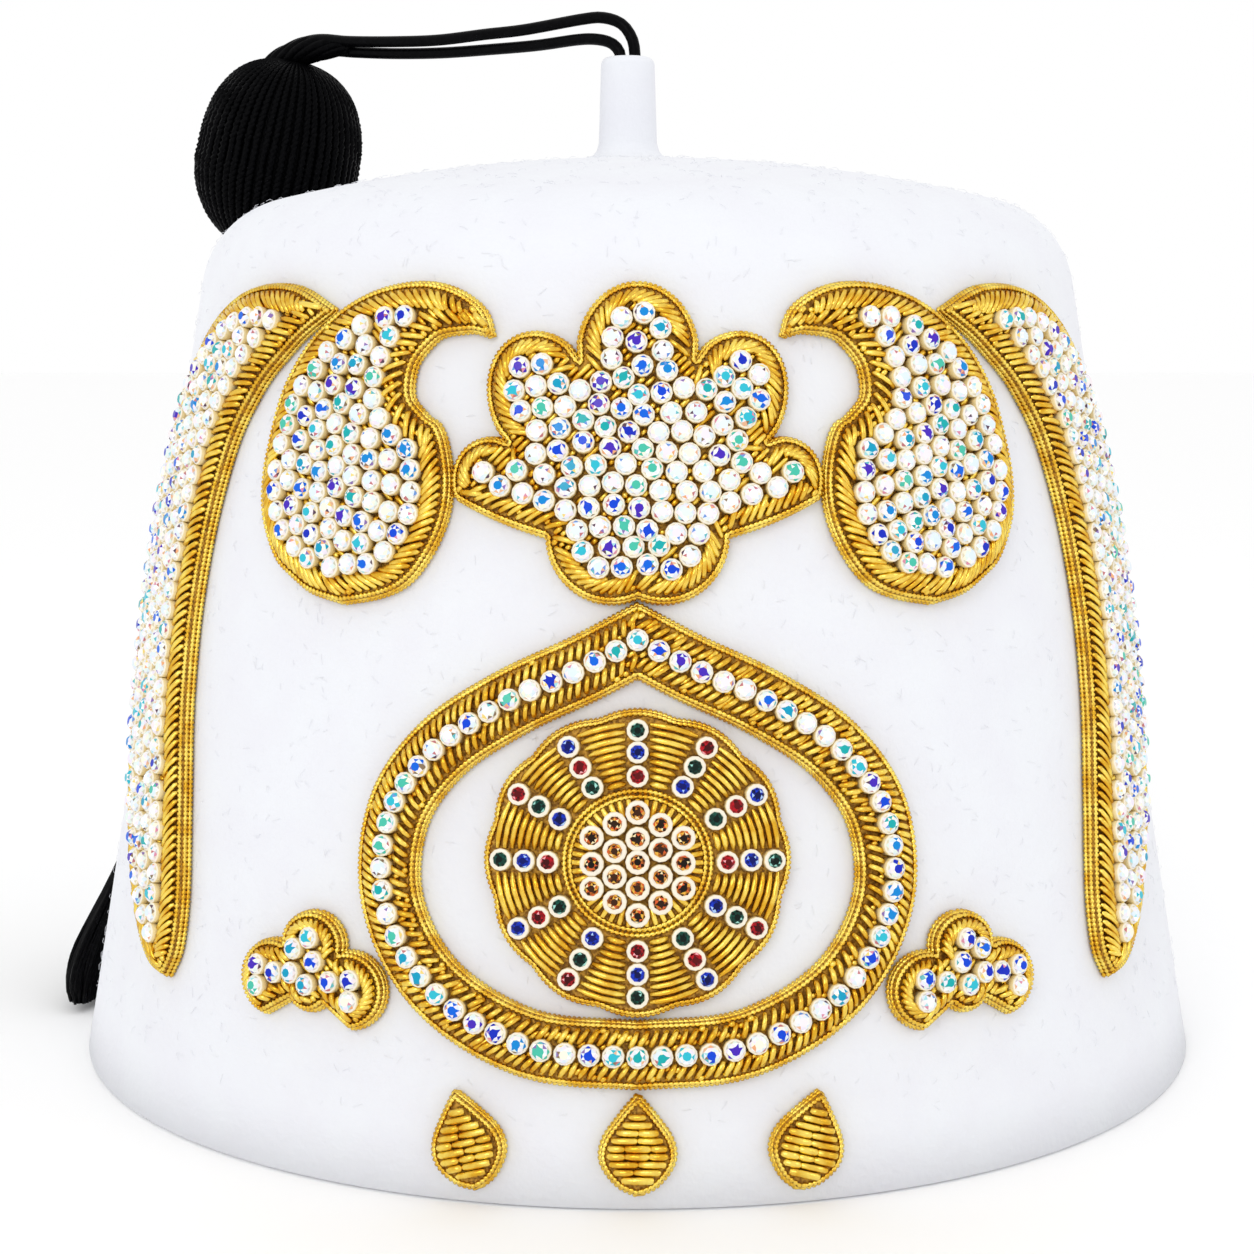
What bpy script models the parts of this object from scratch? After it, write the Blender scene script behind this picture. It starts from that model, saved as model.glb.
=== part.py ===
"""A ceremonial fez: a moulded felt crown with a felt stem, a black tassel on two cords,
and raised goldwork motifs set with stones.

Metres, +Z up. The origin is on the crown's axis, in the plane that the rim rests on.
The front of the fez faces -Y. Run it with blender --background --python part.py,
or from Blender's text editor.
"""

import math
from collections import namedtuple

import bmesh
import bpy
from mathutils import Matrix, Vector

# Felt crown
RIM_RADIUS = 0.0924
SIDE_TAPER = 0.171
SIDE_HEIGHT = 0.1248
CORNER_RADIUS = 0.0158
DOME_RISE = 0.0199
FELT_WALL = 0.0025
CROWN_STEPS = 56
DOME_STEPS = 5
INSIDE_DOME_STEPS = 3
CORNER_STEPS = 4

# Felt stem, a little left of the crown's axis
STEM_OFFSET = -0.0016
STEM_HEIGHT = 0.0167
STEM_FOOT_RADIUS = 0.0060
STEM_RADIUS = 0.0048
STEM_TOP_RADIUS = 0.0044
STEM_EDGE = 0.0011
STEM_BORE_DEPTH = 0.0068
STEM_WAIST_RISE = 2.2
STEM_WAIST_SHARE = 0.25
STEM_STEPS = 20

# Cords and tassel
CORD_DIAMETER = 0.0019
HEAD_AZIMUTH = math.radians(-119.0)
HEAD_REST_ANGLE = math.radians(55.5)
HEAD_LEAN = math.radians(15.0)
HEAD_RADIUS = 0.0149
HEAD_TOP_LENGTH = 0.0162
HEAD_LOW_LENGTH = 0.0175
HEAD_TOP_FLAT = 0.0028
NECK_RADIUS = 0.0048
BINDING_WIRE = 0.0013
SKIRT_AZIMUTH = math.radians(-96.0)
SKIRT_WIDTH = 0.0320
SKIRT_THICKNESS = 0.0112
SKIRT_FLOOR_GAP = 0.0020
SKIRT_LOCKS = 13
SKIRT_FURROW = 0.93
SKIRT_SWING = 1.9
NECK_BLEND = 0.20

# Goldwork and stones
TOUCH_GAP = 0.0003
PAD_THICKNESS = 0.0016
FIELD_HEIGHT = 0.0024
BORDER = 0.0042
SPRIG_BORDER = 0.0026
LEAST_FIELD = 0.0012
SETTING_HEIGHT = 0.0008
SETTING_EDGE = 0.0003
NEST_LEVELS = 60
BEND_STEP = 0.0100
STONE_DIAMETER = 0.0030
AMBER_DIAMETER = 0.0033
STONE_HEIGHT = 0.0022
STONE_TABLE_SHARE = 0.58
STONE_SIDES = 8

# Room between motifs, under the crown's corner and over the rim
MOTIF_GAP = 0.0012
CORNER_MARGIN = 0.0018
RIM_MARGIN = 0.0025

# Long leaves at the sides
LEAF_LENGTH = 0.1000
LEAF_WIDTH = 0.0215

# Teardrop motifs with a curled tip
BOTEH_LENGTH = 0.0440
BOTEH_WIDTH = 0.0320

# Palmette over the front
PALMETTE_SIDE_LOBE = 0.0255
PALMETTE_FOOT = 0.0080
PALMETTE_VALLEY = 0.74
PALMETTE_LOBES = 5
PALMETTE_ROUNDNESS = 0.6
PALMETTE_JOIN_ANGLE = 0.2
PALMETTE_FOOT_BULGE = 0.5
PALMETTE_POINTS = 44
PALMETTE_FIELD_POINTS = 34

# Onion-shaped frame round the medallion
FRAME_BAND = 0.0084
FRAME_STONE_BAND = 0.0031
FRAME_TIP_TRIM = 0.0004

# Round medallion
MEDALLION_RADIUS = 0.0203
MEDALLION_POINTS = 36
MEDALLION_RAYS = 12
RAY_STONES = 3
RAY_START = 0.0116
STONE_PITCH = 0.0031
AMBER_PITCH = 0.0034
AMBER_RINGS = 2
AMBER_DISC_POINTS = 20
RAY_RING_POINTS = 28
RAY_HOLE_POINTS = 18
SCALLOP = 0.035

# Small flowers beside the frame and gold buds under it
SPRIG_CENTRE = 0.0270
SPRIG_WIDTH = 0.0240
SPRIG_HEIGHT = 0.0160
SPRIG_FOOT_ANGLE = math.radians(125.0)
SPRIG_FOOT_SHARE = 0.22
SPRIG_REACH = 0.62
SPRIG_VALLEY = 0.62
SPRIG_ROUNDNESS = 0.8
SPRIG_POINTS = 28
SPRIG_FIELD_POINTS = 20
BUD_LENGTH = 0.0130
BUD_SPREAD = 0.0215
BUD_LEAN = math.radians(16.0)

Section = namedtuple("Section", "side up half")
CrownShape = namedtuple("CrownShape", "corner_r corner_z dome_radius dome_z join_angle")
Patch = namedtuple("Patch", "azimuth height turn mirror")

# Middle line and half width of the leaf, as shares of its length and width
LEAF_SECTIONS = (
    Section(side=-0.250, up=0.985, half=0.00),
    Section(side=-0.160, up=0.975, half=0.22),
    Section(side=-0.060, up=0.930, half=0.38),
    Section(side=0.025, up=0.840, half=0.47),
    Section(side=0.075, up=0.700, half=0.50),
    Section(side=0.090, up=0.540, half=0.50),
    Section(side=0.070, up=0.380, half=0.48),
    Section(side=0.025, up=0.230, half=0.44),
    Section(side=-0.030, up=0.100, half=0.33),
    Section(side=-0.065, up=0.030, half=0.18),
    Section(side=-0.080, up=0.000, half=0.00),
)

# Middle line and half width of the teardrop, as shares of its length and width
BOTEH_SECTIONS = (
    Section(side=0.00, up=0.000, half=0.00),
    Section(side=0.00, up=0.035, half=0.21),
    Section(side=0.00, up=0.120, half=0.38),
    Section(side=0.01, up=0.280, half=0.49),
    Section(side=0.03, up=0.450, half=0.49),
    Section(side=0.04, up=0.610, half=0.41),
    Section(side=0.00, up=0.750, half=0.30),
    Section(side=-0.10, up=0.865, half=0.20),
    Section(side=-0.24, up=0.925, half=0.12),
    Section(side=-0.37, up=0.905, half=0.06),
    Section(side=-0.44, up=0.850, half=0.00),
)

# Right half of the onion frame's middle line, from the medallion's centre, as shares of
# the distance at which the frame clears the medallion
FRAME_SECTIONS = (
    Section(side=0.00, up=-1.00, half=0.0),
    Section(side=0.58, up=-0.95, half=0.0),
    Section(side=1.08, up=-0.68, half=0.0),
    Section(side=1.33, up=-0.26, half=0.0),
    Section(side=1.30, up=0.20, half=0.0),
    Section(side=1.05, up=0.56, half=0.0),
    Section(side=0.67, up=0.82, half=0.0),
    Section(side=0.28, up=1.01, half=0.0),
    Section(side=0.00, up=1.16, half=0.0),
)

# Lotus bud, as shares of its height, which is also its unit of width
BUD_SECTIONS = (
    Section(side=0.0, up=0.00, half=0.00),
    Section(side=0.0, up=0.10, half=0.20),
    Section(side=0.0, up=0.32, half=0.36),
    Section(side=0.0, up=0.55, half=0.34),
    Section(side=0.0, up=0.80, half=0.17),
    Section(side=0.0, up=1.00, half=0.00),
)

# Side of the front that each gold bud lies on
BUD_SIDES = {"bud_left": -1, "bud_centre": 0, "bud_right": 1}

# Skirt of the tassel from its neck to its end: shares of the way down, width and thickness
SKIRT_SECTIONS = (
    Section(side=0.30, up=0.00, half=0.52),
    Section(side=0.42, up=0.06, half=0.62),
    Section(side=0.60, up=0.16, half=0.66),
    Section(side=0.76, up=0.32, half=0.66),
    Section(side=0.86, up=0.52, half=0.68),
    Section(side=0.94, up=0.72, half=0.74),
    Section(side=1.00, up=0.85, half=0.90),
    Section(side=0.96, up=0.93, half=1.00),
    Section(side=0.78, up=0.975, half=0.84),
    Section(side=0.50, up=0.998, half=0.45),
)

# Routes of the cords, in millimetres, from inside the stem to the top of the tassel,
# with heights from the crown's top
UPPER_CORD = (
    (-0.45, 0.0, 10.5),
    (-0.45, 0.0, 13.8),
    (-0.45, 0.0, 17.1),
    (-0.9, 0.1, 19.7),
    (-2.6, 0.6, 22.1),
    (-5.6, 2.0, 23.3),
    (-9.2, 3.9, 23.3),
    (-18.9, 9.4, 22.3),
    (-25.9, 13.2, 22.0),
    (-34.3, 17.8, 21.6),
    (-42.6, 22.5, 21.9),
    (-50.8, 27.0, 22.5),
    (-55.6, 29.9, 23.2),
    (-58.9, 32.1, 22.9),
    (-60.7, 33.4, 21.2),
)
LOWER_CORD = (
    (-2.75, 0.0, 10.5),
    (-2.75, 0.0, 13.8),
    (-2.8, 0.0, 16.6),
    (-3.2, 0.3, 18.0),
    (-4.5, 1.1, 19.2),
    (-6.8, 2.6, 19.9),
    (-10.0, 4.8, 20.1),
    (-17.0, 9.3, 19.7),
    (-25.5, 14.4, 19.6),
    (-33.7, 19.0, 19.6),
    (-41.9, 23.6, 20.0),
    (-49.5, 27.9, 20.7),
    (-54.0, 30.5, 21.2),
    (-57.2, 32.3, 20.4),
)
CORD_POINTS = 24
MM = 0.001

SIDE_ANGLE = math.atan(SIDE_TAPER)
CROWN_HEIGHT = SIDE_HEIGHT + DOME_RISE

FINISHES = {
    "white_felt": ("F3F4F8", 0.95, 0.0),
    "gold_purl": ("D9A520", 0.30, 1.0),
    "crystal": ("F2F3EF", 0.15, 0.0),
    "amber_stone": ("C98A32", 0.15, 0.0),
    "colour_stone": ("7A2040", 0.15, 0.0),
    "black_silk": ("0B0B0D", 0.45, 0.0),
}


def clear_scene():
    for obj in list(bpy.data.objects):
        bpy.data.objects.remove(obj)


def make_collection(name):
    collection = bpy.data.collections.new(name)
    bpy.context.scene.collection.children.link(collection)
    return collection


def linear(hex_colour):
    """The linear colour of an sRGB hex value, with alpha."""
    shares = [int(hex_colour[i : i + 2], 16) / 255 for i in (0, 2, 4)]
    return [s / 12.92 if s <= 0.04045 else ((s + 0.055) / 1.055) ** 2.4 for s in shares] + [1.0]


def make_material(name):
    colour, roughness, metallic = FINISHES[name]
    material = bpy.data.materials.new(name)
    material.use_nodes = True
    shader = material.node_tree.nodes["Principled BSDF"]
    shader.inputs["Base Color"].default_value = linear(colour)
    shader.inputs["Roughness"].default_value = roughness
    shader.inputs["Metallic"].default_value = metallic
    return material


def add_object(name, data, finish):
    """An object for that mesh or curve, in the fez's collection, with its finish."""
    obj = bpy.data.objects.new(name, data)
    FEZ.objects.link(obj)
    data.materials.append(MATERIALS[finish])
    return obj


def finish_bmesh(bm, name):
    """A mesh whose faces all point out of the solid."""
    bmesh.ops.recalc_face_normals(bm, faces=bm.faces)
    if bm.calc_volume(signed=True) < 0.0:
        bmesh.ops.reverse_faces(bm, faces=bm.faces)
    mesh = bpy.data.meshes.new(name)
    bm.to_mesh(mesh)
    bm.free()
    return mesh


# Shape of the crown


def crown_shape():
    """Where the corner's arc is centred, and the dome's arc that it runs into."""
    side_r = RIM_RADIUS - SIDE_TAPER * SIDE_HEIGHT
    corner_r = side_r - CORNER_RADIUS * math.cos(SIDE_ANGLE)
    corner_z = SIDE_HEIGHT - CORNER_RADIUS * math.sin(SIDE_ANGLE)
    rise = CROWN_HEIGHT - corner_z
    reach = corner_r**2 + rise**2 - CORNER_RADIUS**2
    dome_radius = reach / (2 * (rise - CORNER_RADIUS))
    dome_z = CROWN_HEIGHT - dome_radius
    join_angle = math.atan2(corner_z - dome_z, corner_r)
    return CrownShape(corner_r, corner_z, dome_radius, dome_z, join_angle)


def arc(centre_r, centre_z, radius, start, end, steps):
    """Points (r, z) on an arc, both ends included."""
    angles = [start + (end - start) * i / steps for i in range(steps + 1)]
    return [(centre_r + radius * math.cos(a), centre_z + radius * math.sin(a)) for a in angles]


def crown_profile(inset, dome_steps):
    """The crown's profile from its top centre to its rim, moved inwards by inset."""
    shape = crown_shape()
    dome = arc(0.0, shape.dome_z, shape.dome_radius - inset, math.pi / 2, shape.join_angle, dome_steps)
    corner = arc(
        shape.corner_r,
        shape.corner_z,
        CORNER_RADIUS - inset,
        shape.join_angle,
        SIDE_ANGLE,
        CORNER_STEPS,
    )
    rim_r = RIM_RADIUS - inset / math.cos(SIDE_ANGLE)
    return [(0.0, dome[0][1])] + dome[1:] + corner[1:] + [(rim_r, 0.0)]


def dome_height(radius):
    """Height of the dome's outside at that distance from the axis."""
    shape = crown_shape()
    return shape.dome_z + math.sqrt(shape.dome_radius**2 - radius**2)


def turned(name, profile, finish, steps):
    """A closed solid turned about its own Z from a profile that runs down its outside."""
    mesh = bpy.data.meshes.new(name)
    edges = [(i, i + 1) for i in range(len(profile) - 1)]
    mesh.from_pydata([(r, 0.0, z) for r, z in profile], edges, [])
    obj = add_object(name, mesh, finish)
    screw = obj.modifiers.new("Turn", "SCREW")
    screw.angle = 2 * math.pi
    screw.steps = steps
    screw.render_steps = steps
    screw.use_merge_vertices = True
    screw.merge_threshold = 0.00005
    screw.use_smooth_shade = True
    return obj


def build_crown():
    outside = crown_profile(0.0, DOME_STEPS)
    inside = crown_profile(FELT_WALL, INSIDE_DOME_STEPS)
    turned("crown", outside + inside[::-1], "white_felt", CROWN_STEPS)


def stem_bore_radius():
    """Both cords side by side, clear of each other and of the bore."""
    return CORD_DIAMETER + 2 * TOUCH_GAP


def build_stem():
    """The felt stem: a spreading foot on the dome and a bore for the cords in its top."""
    top = CROWN_HEIGHT + STEM_HEIGHT
    bore = stem_bore_radius()
    foot = dome_height(STEM_FOOT_RADIUS) + TOUCH_GAP
    foot_centre = CROWN_HEIGHT + TOUCH_GAP
    spread = STEM_FOOT_RADIUS - STEM_RADIUS
    edge = arc(STEM_TOP_RADIUS - STEM_EDGE, top - STEM_EDGE, STEM_EDGE, math.pi / 2, 0.0, 2)
    waist = [
        (STEM_RADIUS, foot + STEM_WAIST_RISE * spread),
        (STEM_RADIUS + STEM_WAIST_SHARE * spread, foot + spread),
        (STEM_FOOT_RADIUS, foot + TOUCH_GAP),
        (STEM_FOOT_RADIUS, foot),
    ]
    bored = [(0.0, top - STEM_BORE_DEPTH), (bore, top - STEM_BORE_DEPTH), (bore, top)]
    profile = bored + edge + waist + [(0.0, foot_centre)]
    stem = turned("stem", profile, "white_felt", STEM_STEPS)
    stem.location.x = STEM_OFFSET


# Placing things on the crown's side


def slope_radius(height):
    """The crown's radius at that height up its slope."""
    return RIM_RADIUS - height * math.sin(SIDE_ANGLE)


def on_side(azimuth, height, out):
    """A point at that height up the slope, out metres off the felt.
    Azimuth 0 is the front, and it grows towards +X."""
    level = slope_radius(height)
    foot = Vector((level * math.sin(azimuth), -level * math.cos(azimuth), height * math.cos(SIDE_ANGLE)))
    return foot + side_normal(azimuth) * out


def side_normal(azimuth):
    level = math.cos(SIDE_ANGLE)
    return Vector((level * math.sin(azimuth), -level * math.cos(azimuth), math.sin(SIDE_ANGLE)))


def patch_point(patch, a, b, out):
    """A motif's own flat point (a across, b up) laid on the crown's side."""
    across = patch.mirror * (a * math.cos(patch.turn) - b * math.sin(patch.turn))
    height = patch.height + a * math.sin(patch.turn) + b * math.cos(patch.turn)
    return on_side(patch.azimuth + across / slope_radius(height), height, out)


# Flat outlines


def smooth(rows, steps):
    """More rows on a smooth curve through the given ones, steps for each gap."""
    rows = [tuple(row) for row in rows]
    first = tuple(2 * p - q for p, q in zip(rows[0], rows[1]))
    last = tuple(2 * p - q for p, q in zip(rows[-1], rows[-2]))
    padded = [first] + rows + [last]
    found = []
    for before, start, end, after in zip(padded, padded[1:], padded[2:], padded[3:]):
        for i in range(steps):
            t = i / steps
            found.append(tuple(catmull(t, *values) for values in zip(before, start, end, after)))
    return found + [rows[-1]]


def catmull(t, before, start, end, after):
    """Catmull-Rom value at t between start and end."""
    bend = 2 * before - 5 * start + 4 * end - after
    twist = -before + 3 * start - 3 * end + after
    return start + 0.5 * t * ((end - before) + t * (bend + t * twist))


def ribbon_rows(sections, length, width, steps=1):
    """Rows (a, b, half width) in metres along a motif's middle line."""
    scaled = [(s.side * length, s.up * length, s.half * width) for s in sections]
    return smooth(scaled, steps)


def ribbon_outline(rows, inset=0.0, least=0.0):
    """The closed outline of a ribbon, set in by inset and cut off where it gets narrower than least."""
    left, right = [], []
    for i, (a, b, half) in enumerate(rows):
        before, after = rows[max(i - 1, 0)], rows[min(i + 1, len(rows) - 1)]
        along = Vector((after[0] - before[0], after[1] - before[1])).normalized()
        reach = half - inset
        if reach > max(least, 0.0):
            left.append((a - along.y * reach, b + along.x * reach))
            right.append((a + along.y * reach, b - along.x * reach))
        elif inset == 0.0:
            left.append((a, b))
    return left + right[::-1]


def lobed_outline(radius_at, steps):
    """A closed outline from a radius that depends on the angle from straight up."""
    found = []
    for i in range(steps):
        angle = 2 * math.pi * i / steps
        radius = radius_at(angle)
        found.append((radius * math.sin(angle), radius * math.cos(angle)))
    return found[::-1]


def palmette_radius(angle):
    """Five lobes fan out over the top, and a short foot closes the bottom."""
    angle = abs(math.remainder(angle, 2 * math.pi))
    if angle >= math.pi / 2:
        return PALMETTE_FOOT * (1.0 + PALMETTE_FOOT_BULGE * math.sin(angle))
    top_lobe = side_top() - CORNER_MARGIN - palmette_base()
    reach = PALMETTE_SIDE_LOBE + (top_lobe - PALMETTE_SIDE_LOBE) * math.cos(angle) ** 2
    crest = abs(math.cos(PALMETTE_LOBES * angle)) ** PALMETTE_ROUNDNESS
    fade = min(1.0, (math.pi / 2 - angle) / PALMETTE_JOIN_ANGLE)
    lobed = reach * (PALMETTE_VALLEY + (1.0 - PALMETTE_VALLEY) * crest)
    return PALMETTE_FOOT * (1.0 + PALMETTE_FOOT_BULGE) * (1.0 - fade) + lobed * fade


def medallion_radius(angle):
    crest = abs(math.cos(MEDALLION_RAYS * angle / 2))
    return MEDALLION_RADIUS * (1.0 - SCALLOP + SCALLOP * crest)


def sprig_radius(angle):
    """Three lobes: left, up and right."""
    angle = abs(math.remainder(angle, 2 * math.pi))
    if angle > SPRIG_FOOT_ANGLE:
        return SPRIG_FOOT_SHARE * SPRIG_HEIGHT
    crest = abs(math.cos(2 * angle)) ** SPRIG_ROUNDNESS
    upward = SPRIG_HEIGHT * SPRIG_REACH
    reach = upward + (SPRIG_WIDTH / 2 - upward) * math.sin(angle) ** 2
    return reach * (SPRIG_VALLEY + (1.0 - SPRIG_VALLEY) * crest)


def frame_clearance():
    """Distance from the medallion's centre at which the frame's middle line clears it."""
    return MEDALLION_RADIUS + MOTIF_GAP + FRAME_BAND / 2


def frame_outline(offset):
    """The onion frame's middle line, moved outwards by offset, its tip on the centre line."""
    half = smooth([(s.side * frame_clearance(), s.up * frame_clearance()) for s in FRAME_SECTIONS], 2)
    moved = []
    for i, point in enumerate(half):
        before = half[i - 1] if i else (-half[1][0], half[1][1])
        after = half[min(i + 1, len(half) - 1)]
        along = Vector((after[0] - before[0], after[1] - before[1])).normalized()
        moved.append((point[0] + along.y * offset, point[1] - along.x * offset))
    right = [p for p in moved[1:] if p[0] > FRAME_TIP_TRIM]
    (x0, y0), (x1, y1) = right[-2:]
    tip = (0.0, y1 - x1 * (y1 - y0) / (x1 - x0))
    bottom = (0.0, moved[0][1])
    return [bottom] + right + [tip] + [(-x, y) for x, y in right[::-1]]


# Heights and azimuths of the motifs


def side_top():
    """Height up the slope where the crown's corner begins."""
    return SIDE_HEIGHT / math.cos(SIDE_ANGLE)


def medallion_height():
    """The medallion and its frame stand over the buds."""
    return RIM_MARGIN + BUD_LENGTH + MOTIF_GAP + FRAME_BAND / 2 + frame_clearance()


def palmette_base():
    """The palmette's foot stands over the frame's tip."""
    tip = max(b for a, b in frame_outline(FRAME_BAND / 2))
    return medallion_height() + tip + MOTIF_GAP + PALMETTE_FOOT


def hung_height(outline):
    """Height at which a motif's top lies just under the crown's corner."""
    return side_top() - CORNER_MARGIN - max(b for a, b in outline)


def placed(outline, azimuth, height):
    """A motif's outline as azimuths and heights on the crown."""
    return [(azimuth + a / slope_radius(height + b), height + b) for a, b in outline]


def crossings(outline, level):
    """Azimuths at which a placed outline crosses that height."""
    found = []
    for (a0, b0), (a1, b1) in zip(outline, outline[1:] + outline[:1]):
        if min(b0, b1) <= level < max(b0, b1):
            found.append(a0 + (a1 - a0) * (level - b0) / (b1 - b0))
    return found


def beside(outline, height, neighbours):
    """The least azimuth at which a motif clears the neighbours between it and the front."""
    own = placed(outline, 0.0, height)
    azimuth = 0.0
    for i in range(NEST_LEVELS):
        level = side_top() * i / NEST_LEVELS
        inner = crossings(own, level)
        outer = []
        for neighbour in neighbours:
            for near in (level - MOTIF_GAP, level, level + MOTIF_GAP):
                outer += crossings(neighbour, near)
        if inner and outer:
            azimuth = max(azimuth, max(outer) - min(inner) + MOTIF_GAP / slope_radius(level))
    return azimuth


# Plates that follow the crown


def flat_plate(outlines, thickness):
    """A flat plate between outlines, the second and later ones being holes, as a bmesh."""
    curve = bpy.data.curves.new("outline", "CURVE")
    curve.dimensions = "2D"
    curve.fill_mode = "BOTH"
    curve.extrude = thickness / 2
    for outline in outlines:
        spline = curve.splines.new("POLY")
        spline.points.add(len(outline) - 1)
        spline.use_cyclic_u = True
        for point, (a, b) in zip(spline.points, outline):
            point.co = (a, b, 0.0, 1.0)
    helper = bpy.data.objects.new("outline", curve)
    bpy.context.scene.collection.objects.link(helper)
    graph = bpy.context.evaluated_depsgraph_get()
    mesh = bpy.data.meshes.new_from_object(helper.evaluated_get(graph))
    bm = bmesh.new()
    bm.from_mesh(mesh)
    bpy.data.objects.remove(helper)
    bpy.data.curves.remove(curve)
    bpy.data.meshes.remove(mesh)
    bmesh.ops.remove_doubles(bm, verts=bm.verts, dist=0.00001)
    return bm


def cut_across(bm, patch):
    """Cuts a flat plate into strips, narrow enough to follow the crown's curve."""
    direction = Vector((math.cos(patch.turn), -math.sin(patch.turn), 0.0))
    reaches = [v.co.dot(direction) for v in bm.verts]
    low = math.floor(min(reaches) / BEND_STEP)
    high = math.ceil(max(reaches) / BEND_STEP)
    for i in range(low + 1, high):
        geometry = bm.verts[:] + bm.edges[:] + bm.faces[:]
        place = direction * (i * BEND_STEP)
        bmesh.ops.bisect_plane(bm, geom=geometry, plane_co=place, plane_no=direction, dist=0.00002)


def lay_on_crown(bm, patch, low, thickness):
    """Bends a flat plate, centred on its own thickness, onto the crown's side."""
    bmesh.ops.triangulate(bm, faces=bm.faces)
    for vert in bm.verts:
        out = low + thickness / 2 + vert.co.z
        vert.co = patch_point(patch, vert.co.x, vert.co.y, out)


def bent_plate(name, outlines, patch, low, thickness, finish):
    bm = flat_plate(outlines, thickness)
    cut_across(bm, patch)
    lay_on_crown(bm, patch, low, thickness)
    return add_object(name, finish_bmesh(bm, name), finish)


def goldwork(name, outlines, patch):
    bent_plate(name, outlines, patch, TOUCH_GAP, PAD_THICKNESS, "gold_purl")


def stone_floor():
    """How far off the felt the stones' setting starts."""
    return 2 * TOUCH_GAP + PAD_THICKNESS


def stone_field(name, outlines, patch, finish="crystal"):
    return bent_plate(name, outlines, patch, stone_floor(), FIELD_HEIGHT, finish)


def cut_stones(name, places, patch, diameter, low):
    """All the stones of a setting: each a tapered crown of facets round a flat table."""
    bm = bmesh.new()
    for a, b in places:
        foot = patch_point(patch, a, b, low)
        outward = patch_point(patch, a, b, low + STONE_HEIGHT) - foot
        middle = foot + outward / 2
        matrix = Matrix.Translation(middle) @ outward.to_track_quat("Z", "Y").to_matrix().to_4x4()
        bmesh.ops.create_cone(
            bm,
            cap_ends=True,
            segments=STONE_SIDES,
            radius1=diameter / 2,
            radius2=diameter / 2 * STONE_TABLE_SHARE,
            depth=STONE_HEIGHT,
            matrix=matrix,
        )
    return finish_bmesh(bm, name)


def set_stones(setting, places, patch, diameter, low):
    """Fuses cut stones to their setting plate."""
    stones = cut_stones("stones", places, patch, diameter, low)
    cutter = bpy.data.objects.new(setting.name + "_cutter", stones)
    CUTTERS.objects.link(cutter)
    cutter.hide_render = True
    cutter.display_type = "WIRE"
    union = setting.modifiers.new("Stones", "BOOLEAN")
    union.operation = "UNION"
    union.object = cutter


# The motifs


class Motifs:
    """Outlines of all the motifs, and where each one lies."""

    def __init__(self):
        self.leaf_rows = ribbon_rows(LEAF_SECTIONS, LEAF_LENGTH, LEAF_WIDTH)
        self.boteh_rows = ribbon_rows(BOTEH_SECTIONS, BOTEH_LENGTH, BOTEH_WIDTH)
        self.leaf = ribbon_outline(self.leaf_rows)
        self.boteh = ribbon_outline(self.boteh_rows)
        self.palmette = lobed_outline(palmette_radius, PALMETTE_POINTS)
        self.sprig = lobed_outline(sprig_radius, SPRIG_POINTS)
        self.leaf_height = hung_height(self.leaf)
        self.boteh_height = hung_height(self.boteh)
        palmette = placed(self.palmette, 0.0, palmette_base())
        frame = placed(frame_outline(FRAME_BAND / 2), 0.0, medallion_height())
        self.boteh_azimuth = beside(self.boteh, self.boteh_height, [palmette, frame])
        self.sprig_azimuth = beside(self.sprig, SPRIG_CENTRE, [frame])
        boteh = placed(self.boteh, self.boteh_azimuth, self.boteh_height)
        sprig = placed(self.sprig, self.sprig_azimuth, SPRIG_CENTRE)
        self.leaf_azimuth = beside(self.leaf, self.leaf_height, [boteh, sprig, frame])


def build_pair(name, outline, field, azimuth, height):
    """The same motif on the left and, mirrored, on the right."""
    for side_name, side in (("left", -1), ("right", 1)):
        patch = Patch(side * azimuth, height, 0.0, side)
        goldwork(f"{name}_{side_name}_goldwork", [outline], patch)
        stone_field(f"{name}_{side_name}_stones", [field], patch)


def build_leaves(motifs):
    field = ribbon_outline(motifs.leaf_rows, BORDER, LEAST_FIELD)
    build_pair("leaf", motifs.leaf, field, motifs.leaf_azimuth, motifs.leaf_height)


def build_botehs(motifs):
    field = ribbon_outline(motifs.boteh_rows, BORDER, LEAST_FIELD)
    build_pair("boteh", motifs.boteh, field, motifs.boteh_azimuth, motifs.boteh_height)


def build_sprigs(motifs):
    field = lobed_outline(
        lambda angle: max(sprig_radius(angle) - SPRIG_BORDER, LEAST_FIELD), SPRIG_FIELD_POINTS
    )
    build_pair("sprig", motifs.sprig, field, motifs.sprig_azimuth, SPRIG_CENTRE)


def build_palmette(motifs):
    patch = Patch(0.0, palmette_base(), 0.0, 1)
    field = lobed_outline(
        lambda angle: max(palmette_radius(angle) - BORDER, LEAST_FIELD), PALMETTE_FIELD_POINTS
    )
    goldwork("palmette_goldwork", [motifs.palmette], patch)
    stone_field("palmette_stones", [field], patch)


def build_frame():
    patch = Patch(0.0, medallion_height(), 0.0, 1)
    goldwork("frame_goldwork", [frame_outline(FRAME_BAND / 2), frame_outline(-FRAME_BAND / 2)], patch)
    band = [frame_outline(FRAME_STONE_BAND / 2), frame_outline(-FRAME_STONE_BAND / 2)]
    stone_field("frame_stones", band, patch)


def ring_outline(radius, steps):
    return lobed_outline(lambda angle: radius, steps)


def amber_places():
    """A middle stone and hexagonal rings round it."""
    corners = [(math.sin(k * math.pi / 3), math.cos(k * math.pi / 3)) for k in range(7)]
    places = [(0.0, 0.0)]
    for ring in range(1, AMBER_RINGS + 1):
        reach = ring * AMBER_PITCH
        for (x0, y0), (x1, y1) in zip(corners, corners[1:]):
            for share in (i / ring for i in range(ring)):
                places.append(((x0 + (x1 - x0) * share) * reach, (y0 + (y1 - y0) * share) * reach))
    return places


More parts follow.
